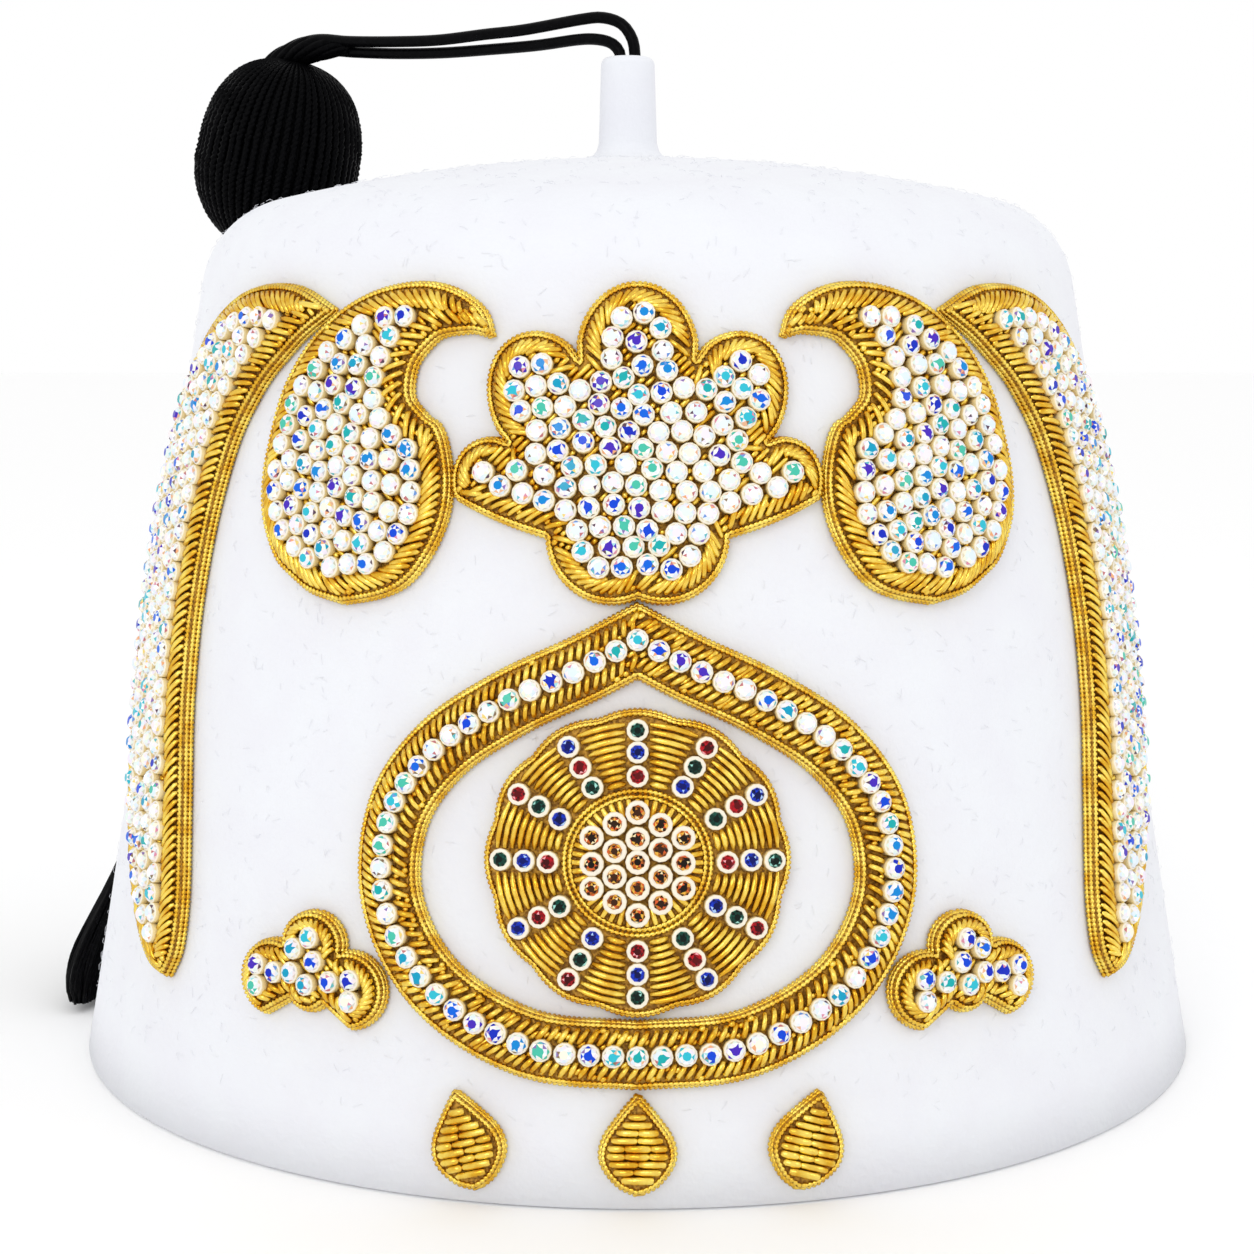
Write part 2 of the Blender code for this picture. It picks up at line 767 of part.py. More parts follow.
def ray_places():
    places = []
    for angle in (2 * math.pi * ray / MEDALLION_RAYS for ray in range(MEDALLION_RAYS)):
        for radius in (RAY_START + i * STONE_PITCH for i in range(RAY_STONES)):
            places.append((radius * math.sin(angle), radius * math.cos(angle)))
    return places


def build_medallion():
    """A gold disc, amber stones in its middle and rays of coloured stones round them."""
    patch = Patch(0.0, medallion_height(), 0.0, 1)
    goldwork("medallion_goldwork", [lobed_outline(medallion_radius, MEDALLION_POINTS)], patch)
    seat = stone_floor() + SETTING_HEIGHT / 2
    reach = AMBER_RINGS * AMBER_PITCH + AMBER_DIAMETER / 2 + SETTING_EDGE
    disc = [ring_outline(reach, AMBER_DISC_POINTS)]
    amber = bent_plate(
        "medallion_amber_stones", disc, patch, stone_floor(), SETTING_HEIGHT, "amber_stone"
    )
    set_stones(amber, amber_places(), patch, AMBER_DIAMETER, seat)
    outer = RAY_START + (RAY_STONES - 1) * STONE_PITCH + STONE_DIAMETER / 2 + SETTING_EDGE
    inner = RAY_START - STONE_DIAMETER / 2 - SETTING_EDGE
    ring = [ring_outline(outer, RAY_RING_POINTS), ring_outline(inner, RAY_HOLE_POINTS)]
    colour = bent_plate(
        "medallion_colour_stones", ring, patch, stone_floor(), SETTING_HEIGHT, "colour_stone"
    )
    set_stones(colour, ray_places(), patch, STONE_DIAMETER, seat)


def build_buds():
    outline = ribbon_outline(ribbon_rows(BUD_SECTIONS, BUD_LENGTH, BUD_LENGTH))
    for name, side in BUD_SIDES.items():
        azimuth = side * BUD_SPREAD / slope_radius(RIM_MARGIN)
        goldwork(name, [outline], Patch(azimuth, RIM_MARGIN, -side * BUD_LEAN, 1))


# Tassel


def head_axis():
    """Unit vector up the tassel head's own axis, which leans in over the crown."""
    inward = Vector((-math.sin(HEAD_AZIMUTH), math.cos(HEAD_AZIMUTH), 0.0))
    return inward * math.sin(HEAD_LEAN) + Vector((0.0, 0.0, math.cos(HEAD_LEAN)))


def head_centre():
    """The widest point of the head's axis, with the head resting on the crown's corner."""
    shape = crown_shape()
    between = math.pi / 2 - HEAD_REST_ANGLE + HEAD_LEAN
    support = math.hypot(HEAD_RADIUS * math.sin(between), HEAD_LOW_LENGTH * math.cos(between))
    reach = CORNER_RADIUS + support + TOUCH_GAP
    radius = shape.corner_r + reach * math.cos(HEAD_REST_ANGLE)
    height = shape.corner_z + reach * math.sin(HEAD_REST_ANGLE)
    return Vector((radius * math.sin(HEAD_AZIMUTH), -radius * math.cos(HEAD_AZIMUTH), height))


def half_oval(length, least, steps):
    """Points (r, z) from the widest point to where the oval is least wide, for one half of the head."""
    end = math.asin(least / HEAD_RADIUS)
    angles = [math.pi / 2 + (end - math.pi / 2) * i / steps for i in range(steps + 1)]
    return [(HEAD_RADIUS * math.sin(a), length * math.cos(a) / math.cos(end)) for a in angles]


def build_tassel_head():
    upper = half_oval(HEAD_TOP_LENGTH, HEAD_TOP_FLAT, 4)
    lower = half_oval(HEAD_LOW_LENGTH, NECK_RADIUS, 5)
    profile = [(0.0, HEAD_TOP_LENGTH)] + upper[::-1]
    profile += [(r, -z) for r, z in lower[1:]] + [(0.0, -HEAD_LOW_LENGTH)]
    head = turned("tassel_head", profile, "black_silk", 20)
    place_on_head_axis(head)


def place_on_head_axis(obj, along=0.0):
    """Stands a turned object on the tassel head's axis, along metres up it from the widest point."""
    axis = head_axis()
    obj.location = head_centre() + axis * along
    obj.rotation_mode = "QUATERNION"
    obj.rotation_quaternion = axis.to_track_quat("Z", "Y")


def build_binding():
    """A ring of thread under the head that gathers the strands."""
    along = HEAD_LOW_LENGTH + TOUCH_GAP + BINDING_WIRE
    bpy.ops.mesh.primitive_torus_add(
        major_segments=14,
        minor_segments=6,
        major_radius=NECK_RADIUS,
        minor_radius=BINDING_WIRE,
    )
    ring = bpy.context.object
    ring.name = "tassel_binding"
    ring.data.name = "tassel_binding"
    ring.data.materials.append(MATERIALS["black_silk"])
    for collection in list(ring.users_collection):
        collection.objects.unlink(ring)
    FEZ.objects.link(ring)
    place_on_head_axis(ring, -along)


def neck_point():
    return head_centre() - head_axis() * (HEAD_LOW_LENGTH + 2 * BINDING_WIRE + 2 * TOUCH_GAP)


def skirt_frames():
    """Centre, across and outward directions, half width and half thickness down the skirt."""
    neck = neck_point()
    neck_height = neck.z / math.cos(SIDE_ANGLE)
    drop = neck_height - SKIRT_FLOOR_GAP
    frames = []
    for width, down, thickness in smooth(SKIRT_SECTIONS, 1):
        azimuth = HEAD_AZIMUTH + (SKIRT_AZIMUTH - HEAD_AZIMUTH) * down**SKIRT_SWING
        height = neck_height - down * drop
        half_thick = thickness * SKIRT_THICKNESS / 2
        lying = on_side(azimuth, height, half_thick + TOUCH_GAP * 2)
        share = max(0.0, 1.0 - down / NECK_BLEND)
        ease = share * share * (3 - 2 * share)
        from_neck = neck - head_axis() * (down * drop)
        centre = lying.lerp(from_neck, ease)
        across = Vector((math.cos(azimuth), math.sin(azimuth), 0.0))
        frames.append((centre, across, side_normal(azimuth), width * SKIRT_WIDTH / 2, half_thick))
    return frames


def skirt_ring(bm, frame, points):
    """One ring of the skirt: a flattened oval with a shallow furrow between locks."""
    centre, across, outward, half_width, half_thick = frame
    ring = []
    for i in range(points):
        angle = 2 * math.pi * i / points
        furrow = 1.0 if i % 2 else SKIRT_FURROW
        over = math.cos(angle) * half_width * furrow
        off = math.sin(angle) * half_thick * furrow
        ring.append(bm.verts.new(centre + across * over + outward * off))
    edges = [bm.edges.new((ring[i - 1], ring[i])) for i in range(points)]
    return ring, edges


def build_skirt():
    """The tassel's skirt, locks of strands fused into one form that lies against the crown."""
    bm = bmesh.new()
    points = 2 * SKIRT_LOCKS
    rings = [skirt_ring(bm, frame, points) for frame in skirt_frames()]
    for (_, upper), (_, lower) in zip(rings, rings[1:]):
        bmesh.ops.bridge_loops(bm, edges=upper + lower)
    for ring, _ in (rings[0], rings[-1]):
        bm.faces.new(ring)
    bmesh.ops.triangulate(bm, faces=bm.faces)
    add_object("tassel_skirt", finish_bmesh(bm, "tassel_skirt"), "black_silk")


def even_route(points, count):
    """Evenly spaced points on the smooth curve through a cord's own points, in metres."""
    top = Vector((0.0, 0.0, CROWN_HEIGHT))
    fine = [top + Vector(p) * MM for p in smooth(points, 16)]
    lengths = [0.0]
    for start, end in zip(fine, fine[1:]):
        lengths.append(lengths[-1] + (end - start).length)
    found, at = [], 0
    for i in range(count):
        wanted = lengths[-1] * i / (count - 1)
        while at < len(fine) - 2 and lengths[at + 1] < wanted:
            at += 1
        share = (wanted - lengths[at]) / (lengths[at + 1] - lengths[at])
        found.append(fine[at].lerp(fine[at + 1], share))
    return found


def build_cord(name, points):
    curve = bpy.data.curves.new(name, "CURVE")
    curve.dimensions = "3D"
    curve.bevel_depth = CORD_DIAMETER / 2
    curve.bevel_resolution = 2
    curve.use_fill_caps = True
    spline = curve.splines.new("POLY")
    route = even_route(points, CORD_POINTS)
    spline.points.add(len(route) - 1)
    for point, place in zip(spline.points, route):
        point.co = (*place, 1.0)
    add_object(name, curve, "black_silk")


def build_tassel():
    build_cord("tassel_cord_upper", UPPER_CORD)
    build_cord("tassel_cord_lower", LOWER_CORD)
    build_tassel_head()
    build_binding()
    build_skirt()


clear_scene()
FEZ = make_collection("fez")
CUTTERS = make_collection("fez_cutters")
CUTTERS.hide_render = True
MATERIALS = {name: make_material(name) for name in FINISHES}

build_crown()
build_stem()
MOTIFS = Motifs()
build_leaves(MOTIFS)
build_botehs(MOTIFS)
build_palmette(MOTIFS)
build_frame()
build_medallion()
build_sprigs(MOTIFS)
build_buds()
build_tassel()
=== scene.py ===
"""Dresses a packed fez: brushed felt, padded goldwork, cut stones in cups, satin cords and a tassel.

Metres, +Z up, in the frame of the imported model. The front of the fez faces -Y.
"""

import logging
import math
import random
from collections.abc import Callable
from dataclasses import dataclass, field
from enum import Enum

import bmesh
import bpy
import numpy as np
from mathutils import Matrix, Vector


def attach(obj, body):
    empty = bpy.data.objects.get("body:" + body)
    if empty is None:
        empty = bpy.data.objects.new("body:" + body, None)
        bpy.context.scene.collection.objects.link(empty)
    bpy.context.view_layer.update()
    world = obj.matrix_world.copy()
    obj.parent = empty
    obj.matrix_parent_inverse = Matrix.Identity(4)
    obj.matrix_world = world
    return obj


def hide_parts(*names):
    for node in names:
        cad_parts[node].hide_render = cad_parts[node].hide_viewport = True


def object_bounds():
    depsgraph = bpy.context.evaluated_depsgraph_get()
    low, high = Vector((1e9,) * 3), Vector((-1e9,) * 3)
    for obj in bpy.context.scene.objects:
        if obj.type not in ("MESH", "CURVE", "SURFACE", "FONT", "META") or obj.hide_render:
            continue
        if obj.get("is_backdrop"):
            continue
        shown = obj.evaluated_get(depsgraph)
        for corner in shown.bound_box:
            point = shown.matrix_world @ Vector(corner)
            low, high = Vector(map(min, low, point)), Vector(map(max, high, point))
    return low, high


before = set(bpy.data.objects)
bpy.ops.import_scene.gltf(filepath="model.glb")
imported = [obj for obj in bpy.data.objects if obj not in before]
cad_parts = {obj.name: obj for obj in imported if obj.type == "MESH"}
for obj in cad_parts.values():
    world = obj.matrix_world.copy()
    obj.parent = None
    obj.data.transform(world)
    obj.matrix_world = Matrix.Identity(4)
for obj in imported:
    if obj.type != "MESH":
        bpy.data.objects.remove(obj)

CAD_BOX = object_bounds()
LOG = logging.getLogger("fez")
MM = 0.001
FACET_COLOUR = "facet_colour"


# Finishes


def linear(hex_colour: str) -> tuple[float, float, float, float]:
    """Turns an sRGB hex colour into a linear one.

    Args:
        hex_colour: Six hex digits.

    Returns:
        Red, green, blue and alpha.
    """
    shares = [int(hex_colour[i : i + 2], 16) / 255 for i in (0, 2, 4)]
    values = [s / 12.92 if s <= 0.04045 else ((s + 0.055) / 1.055) ** 2.4 for s in shares]
    return (values[0], values[1], values[2], 1.0)


def add_node(tree: bpy.types.NodeTree, kind: str, settings: dict, inputs: dict) -> bpy.types.Node:
    """Adds a node to a material, with its settings, numbers and links.

    Args:
        tree: The material's nodes.
        kind: The node's type name.
        settings: Properties of the node itself.
        inputs: Values or other nodes' outputs for its sockets, by name or number.

    Returns:
        The new node.
    """
    node = tree.nodes.new(kind)
    for name, value in settings.items():
        setattr(node, name, value)
    for name, value in inputs.items():
        if isinstance(value, bpy.types.NodeSocket):
            tree.links.new(value, node.inputs[name])
        else:
            node.inputs[name].default_value = value
    return node


def start_material(name: str, inputs: dict) -> tuple[bpy.types.Material, bpy.types.NodeTree, bpy.types.Node]:
    """Starts a material on its own Principled shader.

    Args:
        name: The real material's name.
        inputs: Numbers and colours that are the same all over the surface.

    Returns:
        The material, its nodes and its shader.
    """
    material = bpy.data.materials.new(name)
    material.use_nodes = True
    tree = material.node_tree
    shader = tree.nodes["Principled BSDF"]
    for socket, value in inputs.items():
        shader.inputs[socket].default_value = value
    return material, tree, shader


def grain(tree: bpy.types.NodeTree, size: float, detail: float) -> bpy.types.NodeSocket:
    """Adds noise in object space.

    Args:
        tree: The material's nodes.
        size: Size of the noise's features in metres.
        detail: How many finer layers it has.

    Returns:
        The noise's value.
    """
    place = add_node(tree, "ShaderNodeTexCoord", {}, {})
    noise = add_node(
        tree,
        "ShaderNodeTexNoise",
        {},
        {"Vector": place.outputs["Object"], "Scale": 1.0 / size, "Detail": detail},
    )
    return noise.outputs["Fac"]


def blended(tree: bpy.types.NodeTree, value: bpy.types.NodeSocket, low: float, high: float,
            first: str, second: str) -> bpy.types.NodeSocket:
    """Blends two colours over a range of a value.

    Args:
        tree: The material's nodes.
        value: What decides the blend.
        low: Value at which the first colour ends.
        high: Value at which the second colour is whole.
        first: Hex colour at the low end.
        second: Hex colour at the high end.

    Returns:
        The blended colour.
    """
    ramp = add_node(tree, "ShaderNodeValToRGB", {}, {"Fac": value})
    ramp.color_ramp.elements[0].position = low
    ramp.color_ramp.elements[0].color = linear(first)
    ramp.color_ramp.elements[1].position = high
    ramp.color_ramp.elements[1].color = linear(second)
    return ramp.outputs["Color"]


def add_bump(tree: bpy.types.NodeTree, shader: bpy.types.Node, height: bpy.types.NodeSocket,
             strength: float, distance: float) -> None:
    """Raises a surface by a height in metres.

    Args:
        tree: The material's nodes.
        shader: The shader that takes the bump.
        height: The height's value.
        strength: How much of it shows.
        distance: Height of a value of one, in metres.
    """
    bump = add_node(
        tree, "ShaderNodeBump", {}, {"Height": height, "Strength": strength, "Distance": distance}
    )
    tree.links.new(bump.outputs["Normal"], shader.inputs["Normal"])


@dataclass(frozen=True)
class GrainedFinish:
    """A finish whose colour and relief both follow noise of a real size, in metres."""

    name: str
    numbers: dict
    colours: tuple[str, str]
    patch: float
    patch_detail: float
    blend: tuple[float, float]
    relief: float
    relief_detail: float
    strength: float
    depth: float

    def material(self) -> bpy.types.Material:
        """Makes the material.

        Returns:
            The material.
        """
        material, tree, shader = start_material(self.name, self.numbers)
        colour = blended(tree, grain(tree, self.patch, self.patch_detail), *self.blend, *self.colours)
        tree.links.new(colour, shader.inputs["Base Color"])
        add_bump(tree, shader, grain(tree, self.relief, self.relief_detail), self.strength, self.depth)
        return material


@dataclass(frozen=True)
class FacetPaint:
    """A finish that takes each face's colour from the piece's own attribute."""

    name: str
    numbers: dict

    def material(self) -> bpy.types.Material:
        """Makes the material.

        Returns:
            The material.
        """
        material, tree, shader = start_material(self.name, self.numbers)
        paint = add_node(tree, "ShaderNodeVertexColor", {"layer_name": FACET_COLOUR}, {})
        tree.links.new(paint.outputs["Color"], shader.inputs["Base Color"])
        return material


def black_silk(name: str, roughness: float, strand: float, gloss: float) -> GrainedFinish:
    """Twisted black silk: near black, with a faint sheen that fine filaments break up along the strands.

    Args:
        name: The material's name.
        roughness: How soft its gloss is.
        strand: How far apart the filaments show.
        gloss: How strong its gloss is.

    Returns:
        The finish.
    """
    numbers = {"Roughness": roughness, "Specular IOR Level": gloss}
    colours = ("010102", "070709")
    return GrainedFinish(
        name, numbers, colours, patch=strand, patch_detail=3.0, blend=(0.35, 0.70),
        relief=strand, relief_detail=3.0, strength=0.25, depth=0.00015,
    )


# Dense brushed wool felt: dull and faintly mottled, with a soft pale edge and fibres in all directions.
WOOL_FELT = GrainedFinish(
    "brushed_wool_felt", {"Roughness": 0.96, "Sheen Weight": 0.25, "Sheen Roughness": 0.6},
    ("E3E4EA", "E5E7EC"), patch=0.009, patch_detail=3.0, blend=(0.35, 0.65),
    relief=0.0011, relief_detail=6.0, strength=0.30, depth=0.00035,
)
# Coiled gilt wire in short strokes: satin deep yellow metal. Its coils are finer than the render shows, so
# they are drawn 0.35 mm apart.
GILT_PURL = GrainedFinish(
    "gilt_bullion_wire", {"Metallic": 1.0, "Roughness": 0.24},
    ("DDAA30", "F8DC68"), patch=0.0030, patch_detail=2.0, blend=(0.38, 0.62),
    relief=0.00035, relief_detail=1.0, strength=0.35, depth=0.00012,
)
# Couched gold thread over padding, deep between the strokes: brown gold, darkened as painted shade in the
# gaps between strokes, with a painted glint every half millimetre.
GOLD_THREAD_SHADE_GLINTS = GrainedFinish(
    "gold_thread_painted_shade_glints", {"Metallic": 0.6, "Roughness": 0.5},
    ("7E5618", "C49436"), patch=0.0005, patch_detail=2.0, blend=(0.40, 0.62),
    relief=0.0005, relief_detail=2.0, strength=0.6, depth=0.0003,
)
# Moulded resin cups with a pearl varnish: softly glossy, with white rims and darker cream sides, the side
# colour painted shade between the stones.
PEARL_CUP = FacetPaint("pearl_resin", {"Roughness": 0.30, "Coat Weight": 0.3, "Coat Roughness": 0.12})
# Cut crystal with a rainbow coat under a sharp gloss: each facet has its own fixed colour, with painted shade
# on the clear stones' outer facets and painted glints among the small spots.
CUT_CRYSTAL = FacetPaint("coated_cut_crystal", {"Roughness": 0.06, "IOR": 1.54, "Specular IOR Level": 0.16})
SILK_YARN = black_silk("black_silk_yarn", roughness=0.46, strand=0.0005, gloss=0.035)
SILK_STRANDS = black_silk("black_silk_strands", roughness=0.26, strand=0.0009, gloss=0.06)
SATIN_CORD = black_silk("black_satin_cord", roughness=0.38, strand=0.0006, gloss=0.05)


# Meshes


def finished(bm: bmesh.types.BMesh, name: str) -> bpy.types.Mesh:
    """Turns a bmesh into a mesh and frees it.

    Args:
        bm: The bmesh.
        name: The mesh's name.

    Returns:
        The mesh.
    """
    mesh = bpy.data.meshes.new(name)
    bm.to_mesh(mesh)
    bm.free()
    return mesh


def bridged(bm: bmesh.types.BMesh, rings: list[list[bmesh.types.BMEdge]]) -> None:
    """Joins each ring of edges to the next one.

    Args:
        bm: The bmesh that holds the rings.
        rings: Each ring's edges.
    """
    for first, second in zip(rings, rings[1:]):
        bmesh.ops.bridge_loops(bm, edges=first + second)


def ring_edges(verts: list[bmesh.types.BMVert]) -> list[bmesh.types.BMEdge]:
    """The edges that meet a new ring's vertices, each once and in order."""
    return list(dict.fromkeys(edge for vert in verts for edge in vert.link_edges))


@dataclass
class Run:
    """A round run of wire, cord or strand: its points, its radius at each, and whether it closes."""

    points: list[Vector]
    radii: list[float]
    closed: bool = False


def linked(name: str, data: bpy.types.ID) -> bpy.types.Object:
    """Puts data in the scene as an object.

    Args:
        name: The object's name.
        data: Its mesh, curve, camera or light.

    Returns:
        The object.
    """
    made = bpy.data.objects.new(name, data)
    bpy.context.scene.collection.objects.link(made)
    return made


def tube_curve(name: str, runs: list[Run], radius: float, resolution: int) -> bpy.types.Curve:
    """Makes one curve of all the runs, each a round tube with closed ends.

    Args:
        name: The curve's name.
        runs: The runs.
        radius: What the runs' own radii are multiplied by.
        resolution: How many points are added to a quarter of each tube's round.

    Returns:
        The curve.
    """
    curve = bpy.data.curves.new(name, "CURVE")
    curve.dimensions = "3D"
    curve.bevel_depth = radius
    curve.bevel_resolution = resolution
    curve.use_fill_caps = True
    for run in runs:
        spline = curve.splines.new("POLY")
        spline.points.add(len(run.points) - 1)
        spline.use_cyclic_u = run.closed
        for point, place, share in zip(spline.points, run.points, run.radii):
            point.co = (*place, 1.0)
            point.radius = share
    return curve


def run_mesh(name: str, runs: list[Run], resolution: int) -> bpy.types.Mesh:
    """Makes one mesh of all the runs.

    Args:
        name: The mesh's name.
        runs: The runs.
        resolution: How many points are added to a quarter of each tube's round.

    Returns:
        The mesh, shaded smooth.
    """
    curve = tube_curve(name, runs, 1.0, resolution)
    helper = linked(name, curve)
    mesh = bpy.data.meshes.new_from_object(helper.evaluated_get(bpy.context.evaluated_depsgraph_get()))
    bpy.data.objects.remove(helper)
    bpy.data.curves.remove(curve)
    mesh.polygons.foreach_set("use_smooth", [True] * len(mesh.polygons))
    return mesh


def spun_mesh(name: str, profile: list[tuple[float, float]], steps: int) -> bpy.types.Mesh:
    """Turns a profile about Z into a closed mesh, shaded smooth.

    Args:
        name: The mesh's name.
        profile: Points (radius, height) from the axis round the outside and back to the axis.
        steps: Steps in the full turn.

    Returns:
        The mesh.
    """
    bm = bmesh.new()
    verts = [bm.verts.new((r, 0.0, z)) for r, z in profile]
    edges = [bm.edges.new(pair) for pair in zip(verts, verts[1:])]
    bmesh.ops.spin(
        bm,
        geom=verts + edges,
        cent=(0.0, 0.0, 0.0),
        axis=(0.0, 0.0, 1.0),
        angle=2 * math.pi,
        steps=steps,
        use_merge=True,
    )
    bmesh.ops.remove_doubles(bm, verts=bm.verts, dist=0.000002)
    bmesh.ops.recalc_face_normals(bm, faces=bm.faces)
    for face in bm.faces:
        face.smooth = True
    return finished(bm, name)


def add_piece(
    name: str, data: bpy.types.ID, finishes: list[GrainedFinish | FacetPaint], slot: str
) -> bpy.types.Object:
    """Puts a finished mesh or curve on the fez.

    Args:
        name: The piece's name.
        data: Its mesh or curve, already in place.
        finishes: Its finishes, in the order that its faces use. Each makes its material once.
        slot: The record's material slot; not used.

    Returns:
        The piece.
    """
    piece = linked(name, data)
    for finish in finishes:
        data.materials.append(bpy.data.materials.get(finish.name) or finish.material())
    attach(piece, "root")
    return piece


def catmull(rows: list[tuple[float, ...]], steps: int) -> list[tuple[float, ...]]:
    """Adds rows on a smooth curve through the given ones.

    Args:
        rows: Rows of numbers.
        steps: How many rows each gap gets.

    Returns:
        The finer rows, both ends kept.
    """
    table = np.array(rows, float)
    table = np.vstack([2 * table[0] - table[1], table, 2 * table[-1] - table[-2]])
    found = []
    for before, start, end, after in zip(table, table[1:], table[2:], table[3:]):
        for t in np.arange(steps) / steps:
            bend = 2 * before - 5 * start + 4 * end - after
            twist = -before + 3 * start - 3 * end + after
            found.append(tuple(start + 0.5 * t * ((end - before) + t * (bend + t * twist))))
    return found + [tuple(table[-2])]


# Placing things on the crown's side


@dataclass(frozen=True)
class CrownSide:
    """The crown's tapered side, on which every motif is laid."""

    rim_radius: float = 0.0924
    taper: float = 0.171

    @property
    def angle(self) -> float:
        """How far the side leans in from upright."""
        return math.atan(self.taper)

    def radius(self, height: float) -> float:
        """The side's radius at that height up its slope."""
        return self.rim_radius - height * math.sin(self.angle)

    def normal(self, azimuth: float) -> Vector:
        """The side's outward direction at that azimuth."""
        level = math.cos(self.angle)
        return Vector((level * math.sin(azimuth), -level * math.cos(azimuth), math.sin(self.angle)))

    def point(self, azimuth: float, height: float, out: float) -> Vector:
        """Finds a point on the side or off it.

        Args:
            azimuth: Angle from the front, growing towards +X.
            height: Height up the slope.
            out: Distance off the felt.

        Returns:
            The point.
        """
        level = self.radius(height)
        foot = (level * math.sin(azimuth), -level * math.cos(azimuth), height * math.cos(self.angle))
        return Vector(foot) + self.normal(azimuth) * out


SIDE = CrownSide()


@dataclass(frozen=True)
class Placement:
    """Where a motif's flat drawing lies on the crown's side."""

    azimuth: float
    height: float
    turn: float = 0.0
    mirror: int = 1

    def station(self, a: float, b: float) -> tuple[float, float]:
        """Finds where a point of the drawing lies on the side.

        Args:
            a: How far across the drawing it is.
            b: How far up the drawing it is.

        Returns:
            Its azimuth, and its height up the slope.
        """
        across = self.mirror * (a * math.cos(self.turn) - b * math.sin(self.turn))
        height = self.height + a * math.sin(self.turn) + b * math.cos(self.turn)
        return self.azimuth + across / SIDE.radius(height), height

    def point(self, a: float, b: float, out: float) -> Vector:
        """The drawing's point (a across, b up), out metres off the felt."""
        azimuth, height = self.station(a, b)
        return SIDE.point(azimuth, height, out)

    def seat(self, a: float, b: float, out: float) -> Matrix:
        """Makes a frame at a point of the drawing, with Z pointing away from the felt.

        Args:
            a: How far across the drawing it is.
            b: How far up the drawing it is.
            out: Distance off the felt.

        Returns:
            The frame.
        """
        azimuth, height = self.station(a, b)
        turn = SIDE.normal(azimuth).to_track_quat("Z", "Y").to_matrix().to_4x4()
        return Matrix.Translation(SIDE.point(azimuth, height, out)) @ turn


class Outline:
    """A motif's flat outline: its outer loop, and inner loops where it has holes."""

    def __init__(self, *loops: list[tuple[float, float]]) -> None:
        """Keeps the loops as arrays of points."""
        self.loops = [np.array(loop, float) for loop in loops]

    def depth(self, points: np.ndarray) -> np.ndarray:
        """Measures how deep points lie inside the outline.

        Args:
            points: Rows (a, b).

        Returns:
            Distance to the nearest edge, below zero outside.
        """
        nearest = np.full(len(points), np.inf)
        crossings = np.zeros(len(points), int)
        for loop in self.loops:
            along = np.roll(loop, -1, axis=0) - loop
            offset = points[:, None, :] - loop[None]
            share = np.clip((offset * along).sum(2) / np.maximum((along**2).sum(1), 1e-18), 0, 1)
            gap = np.linalg.norm(offset - share[..., None] * along, axis=2)
            nearest = np.minimum(nearest, gap.min(1))
            over = loop[:, 1] > points[:, 1:2]
            over_next = np.roll(loop[:, 1], -1) > points[:, 1:2]
            rise = np.where(np.abs(along[:, 1]) < 1e-12, 1e-12, along[:, 1])
            meets = loop[:, 0] + (points[:, 1:2] - loop[:, 1]) * along[:, 0] / rise
            crossings += ((over != over_next) & (points[:, 0:1] < meets)).sum(1)
        return np.where(crossings % 2 == 1, nearest, -nearest)

    def stations(self, loop: np.ndarray, pitch: float) -> tuple[np.ndarray, np.ndarray]:
        """Walks along one loop in even steps.

        Args:
            loop: The loop's points.
            pitch: About how long each step is.

        Returns:
            The points, and the directions from them into the motif.
        """
        closed = np.vstack([loop, loop[:1]])
        lengths = np.concatenate([[0.0], np.cumsum(np.linalg.norm(np.diff(closed, axis=0), axis=1))])
        count = max(6, round(lengths[-1] / pitch))
        wanted = np.arange(count) * lengths[-1] / count
        points = np.stack([np.interp(wanted, lengths, closed[:, k]) for k in (0, 1)], axis=1)
        along = np.roll(points, -1, axis=0) - np.roll(points, 1, axis=0)
        along /= np.maximum(np.linalg.norm(along, axis=1, keepdims=True), 1e-12)
        inward = np.stack([-along[:, 1], along[:, 0]], axis=1)
        wrong = self.depth(points + inward * 0.0002) < self.depth(points - inward * 0.0002)
        inward[wrong] *= -1
        return points, inward


def ribbon_loop(sections: tuple, length: float, width: float, steps: int = 5) -> list[tuple[float, float]]:
    """Makes the closed outline of a ribbon from its middle line.

    Args:
        sections: Rows (side, up, half width) as shares of the length, the length and the width.
        length: The ribbon's length.
        width: The ribbon's width.
        steps: Points for each gap between rows.

    Returns:
        The outline's points.
    """
    rows = catmull([(side * length, up * length, half * width) for side, up, half in sections], steps)
    left, right = [], []
    for i, (a, b, half) in enumerate(rows):
        before, after = rows[max(i - 1, 0)], rows[min(i + 1, len(rows) - 1)]
        along = Vector((after[0] - before[0], after[1] - before[1])).normalized()
        half = max(half, 0.0)
        left.append((a - along.y * half, b + along.x * half))
        right.append((a + along.y * half, b - along.x * half))
    return left + right[-2:0:-1]


def lobed_loop(radius_at: Callable[[float], float], steps: int) -> list[tuple[float, float]]:
    """Makes a closed outline from a radius that depends on the angle from straight up."""
    angles = [2 * math.pi * i / steps for i in range(steps)]
    return [(radius_at(angle) * math.sin(angle), radius_at(angle) * math.cos(angle)) for angle in angles]


# Stones


class StoneColour(Enum):
    """What a stone shows through its table, and beside it."""

    RAINBOW = "rainbow"
    AMBER = "amber"
    GREEN = "green"
    RED = "red"
    BLUE = "blue"


@dataclass(frozen=True)
class StoneLook:
    """The colours of a kind of stone, facet by facet, painted shade and glints among them, and how much of
    its cup it fills.
    """

    tables: tuple[str, ...]
    crown: tuple[str, ...]
    girdle_and_shade: tuple[str, ...]
    flecks_and_glints: tuple[str, ...]
    share: float
    fleck_chance: float
    spread_chance: float
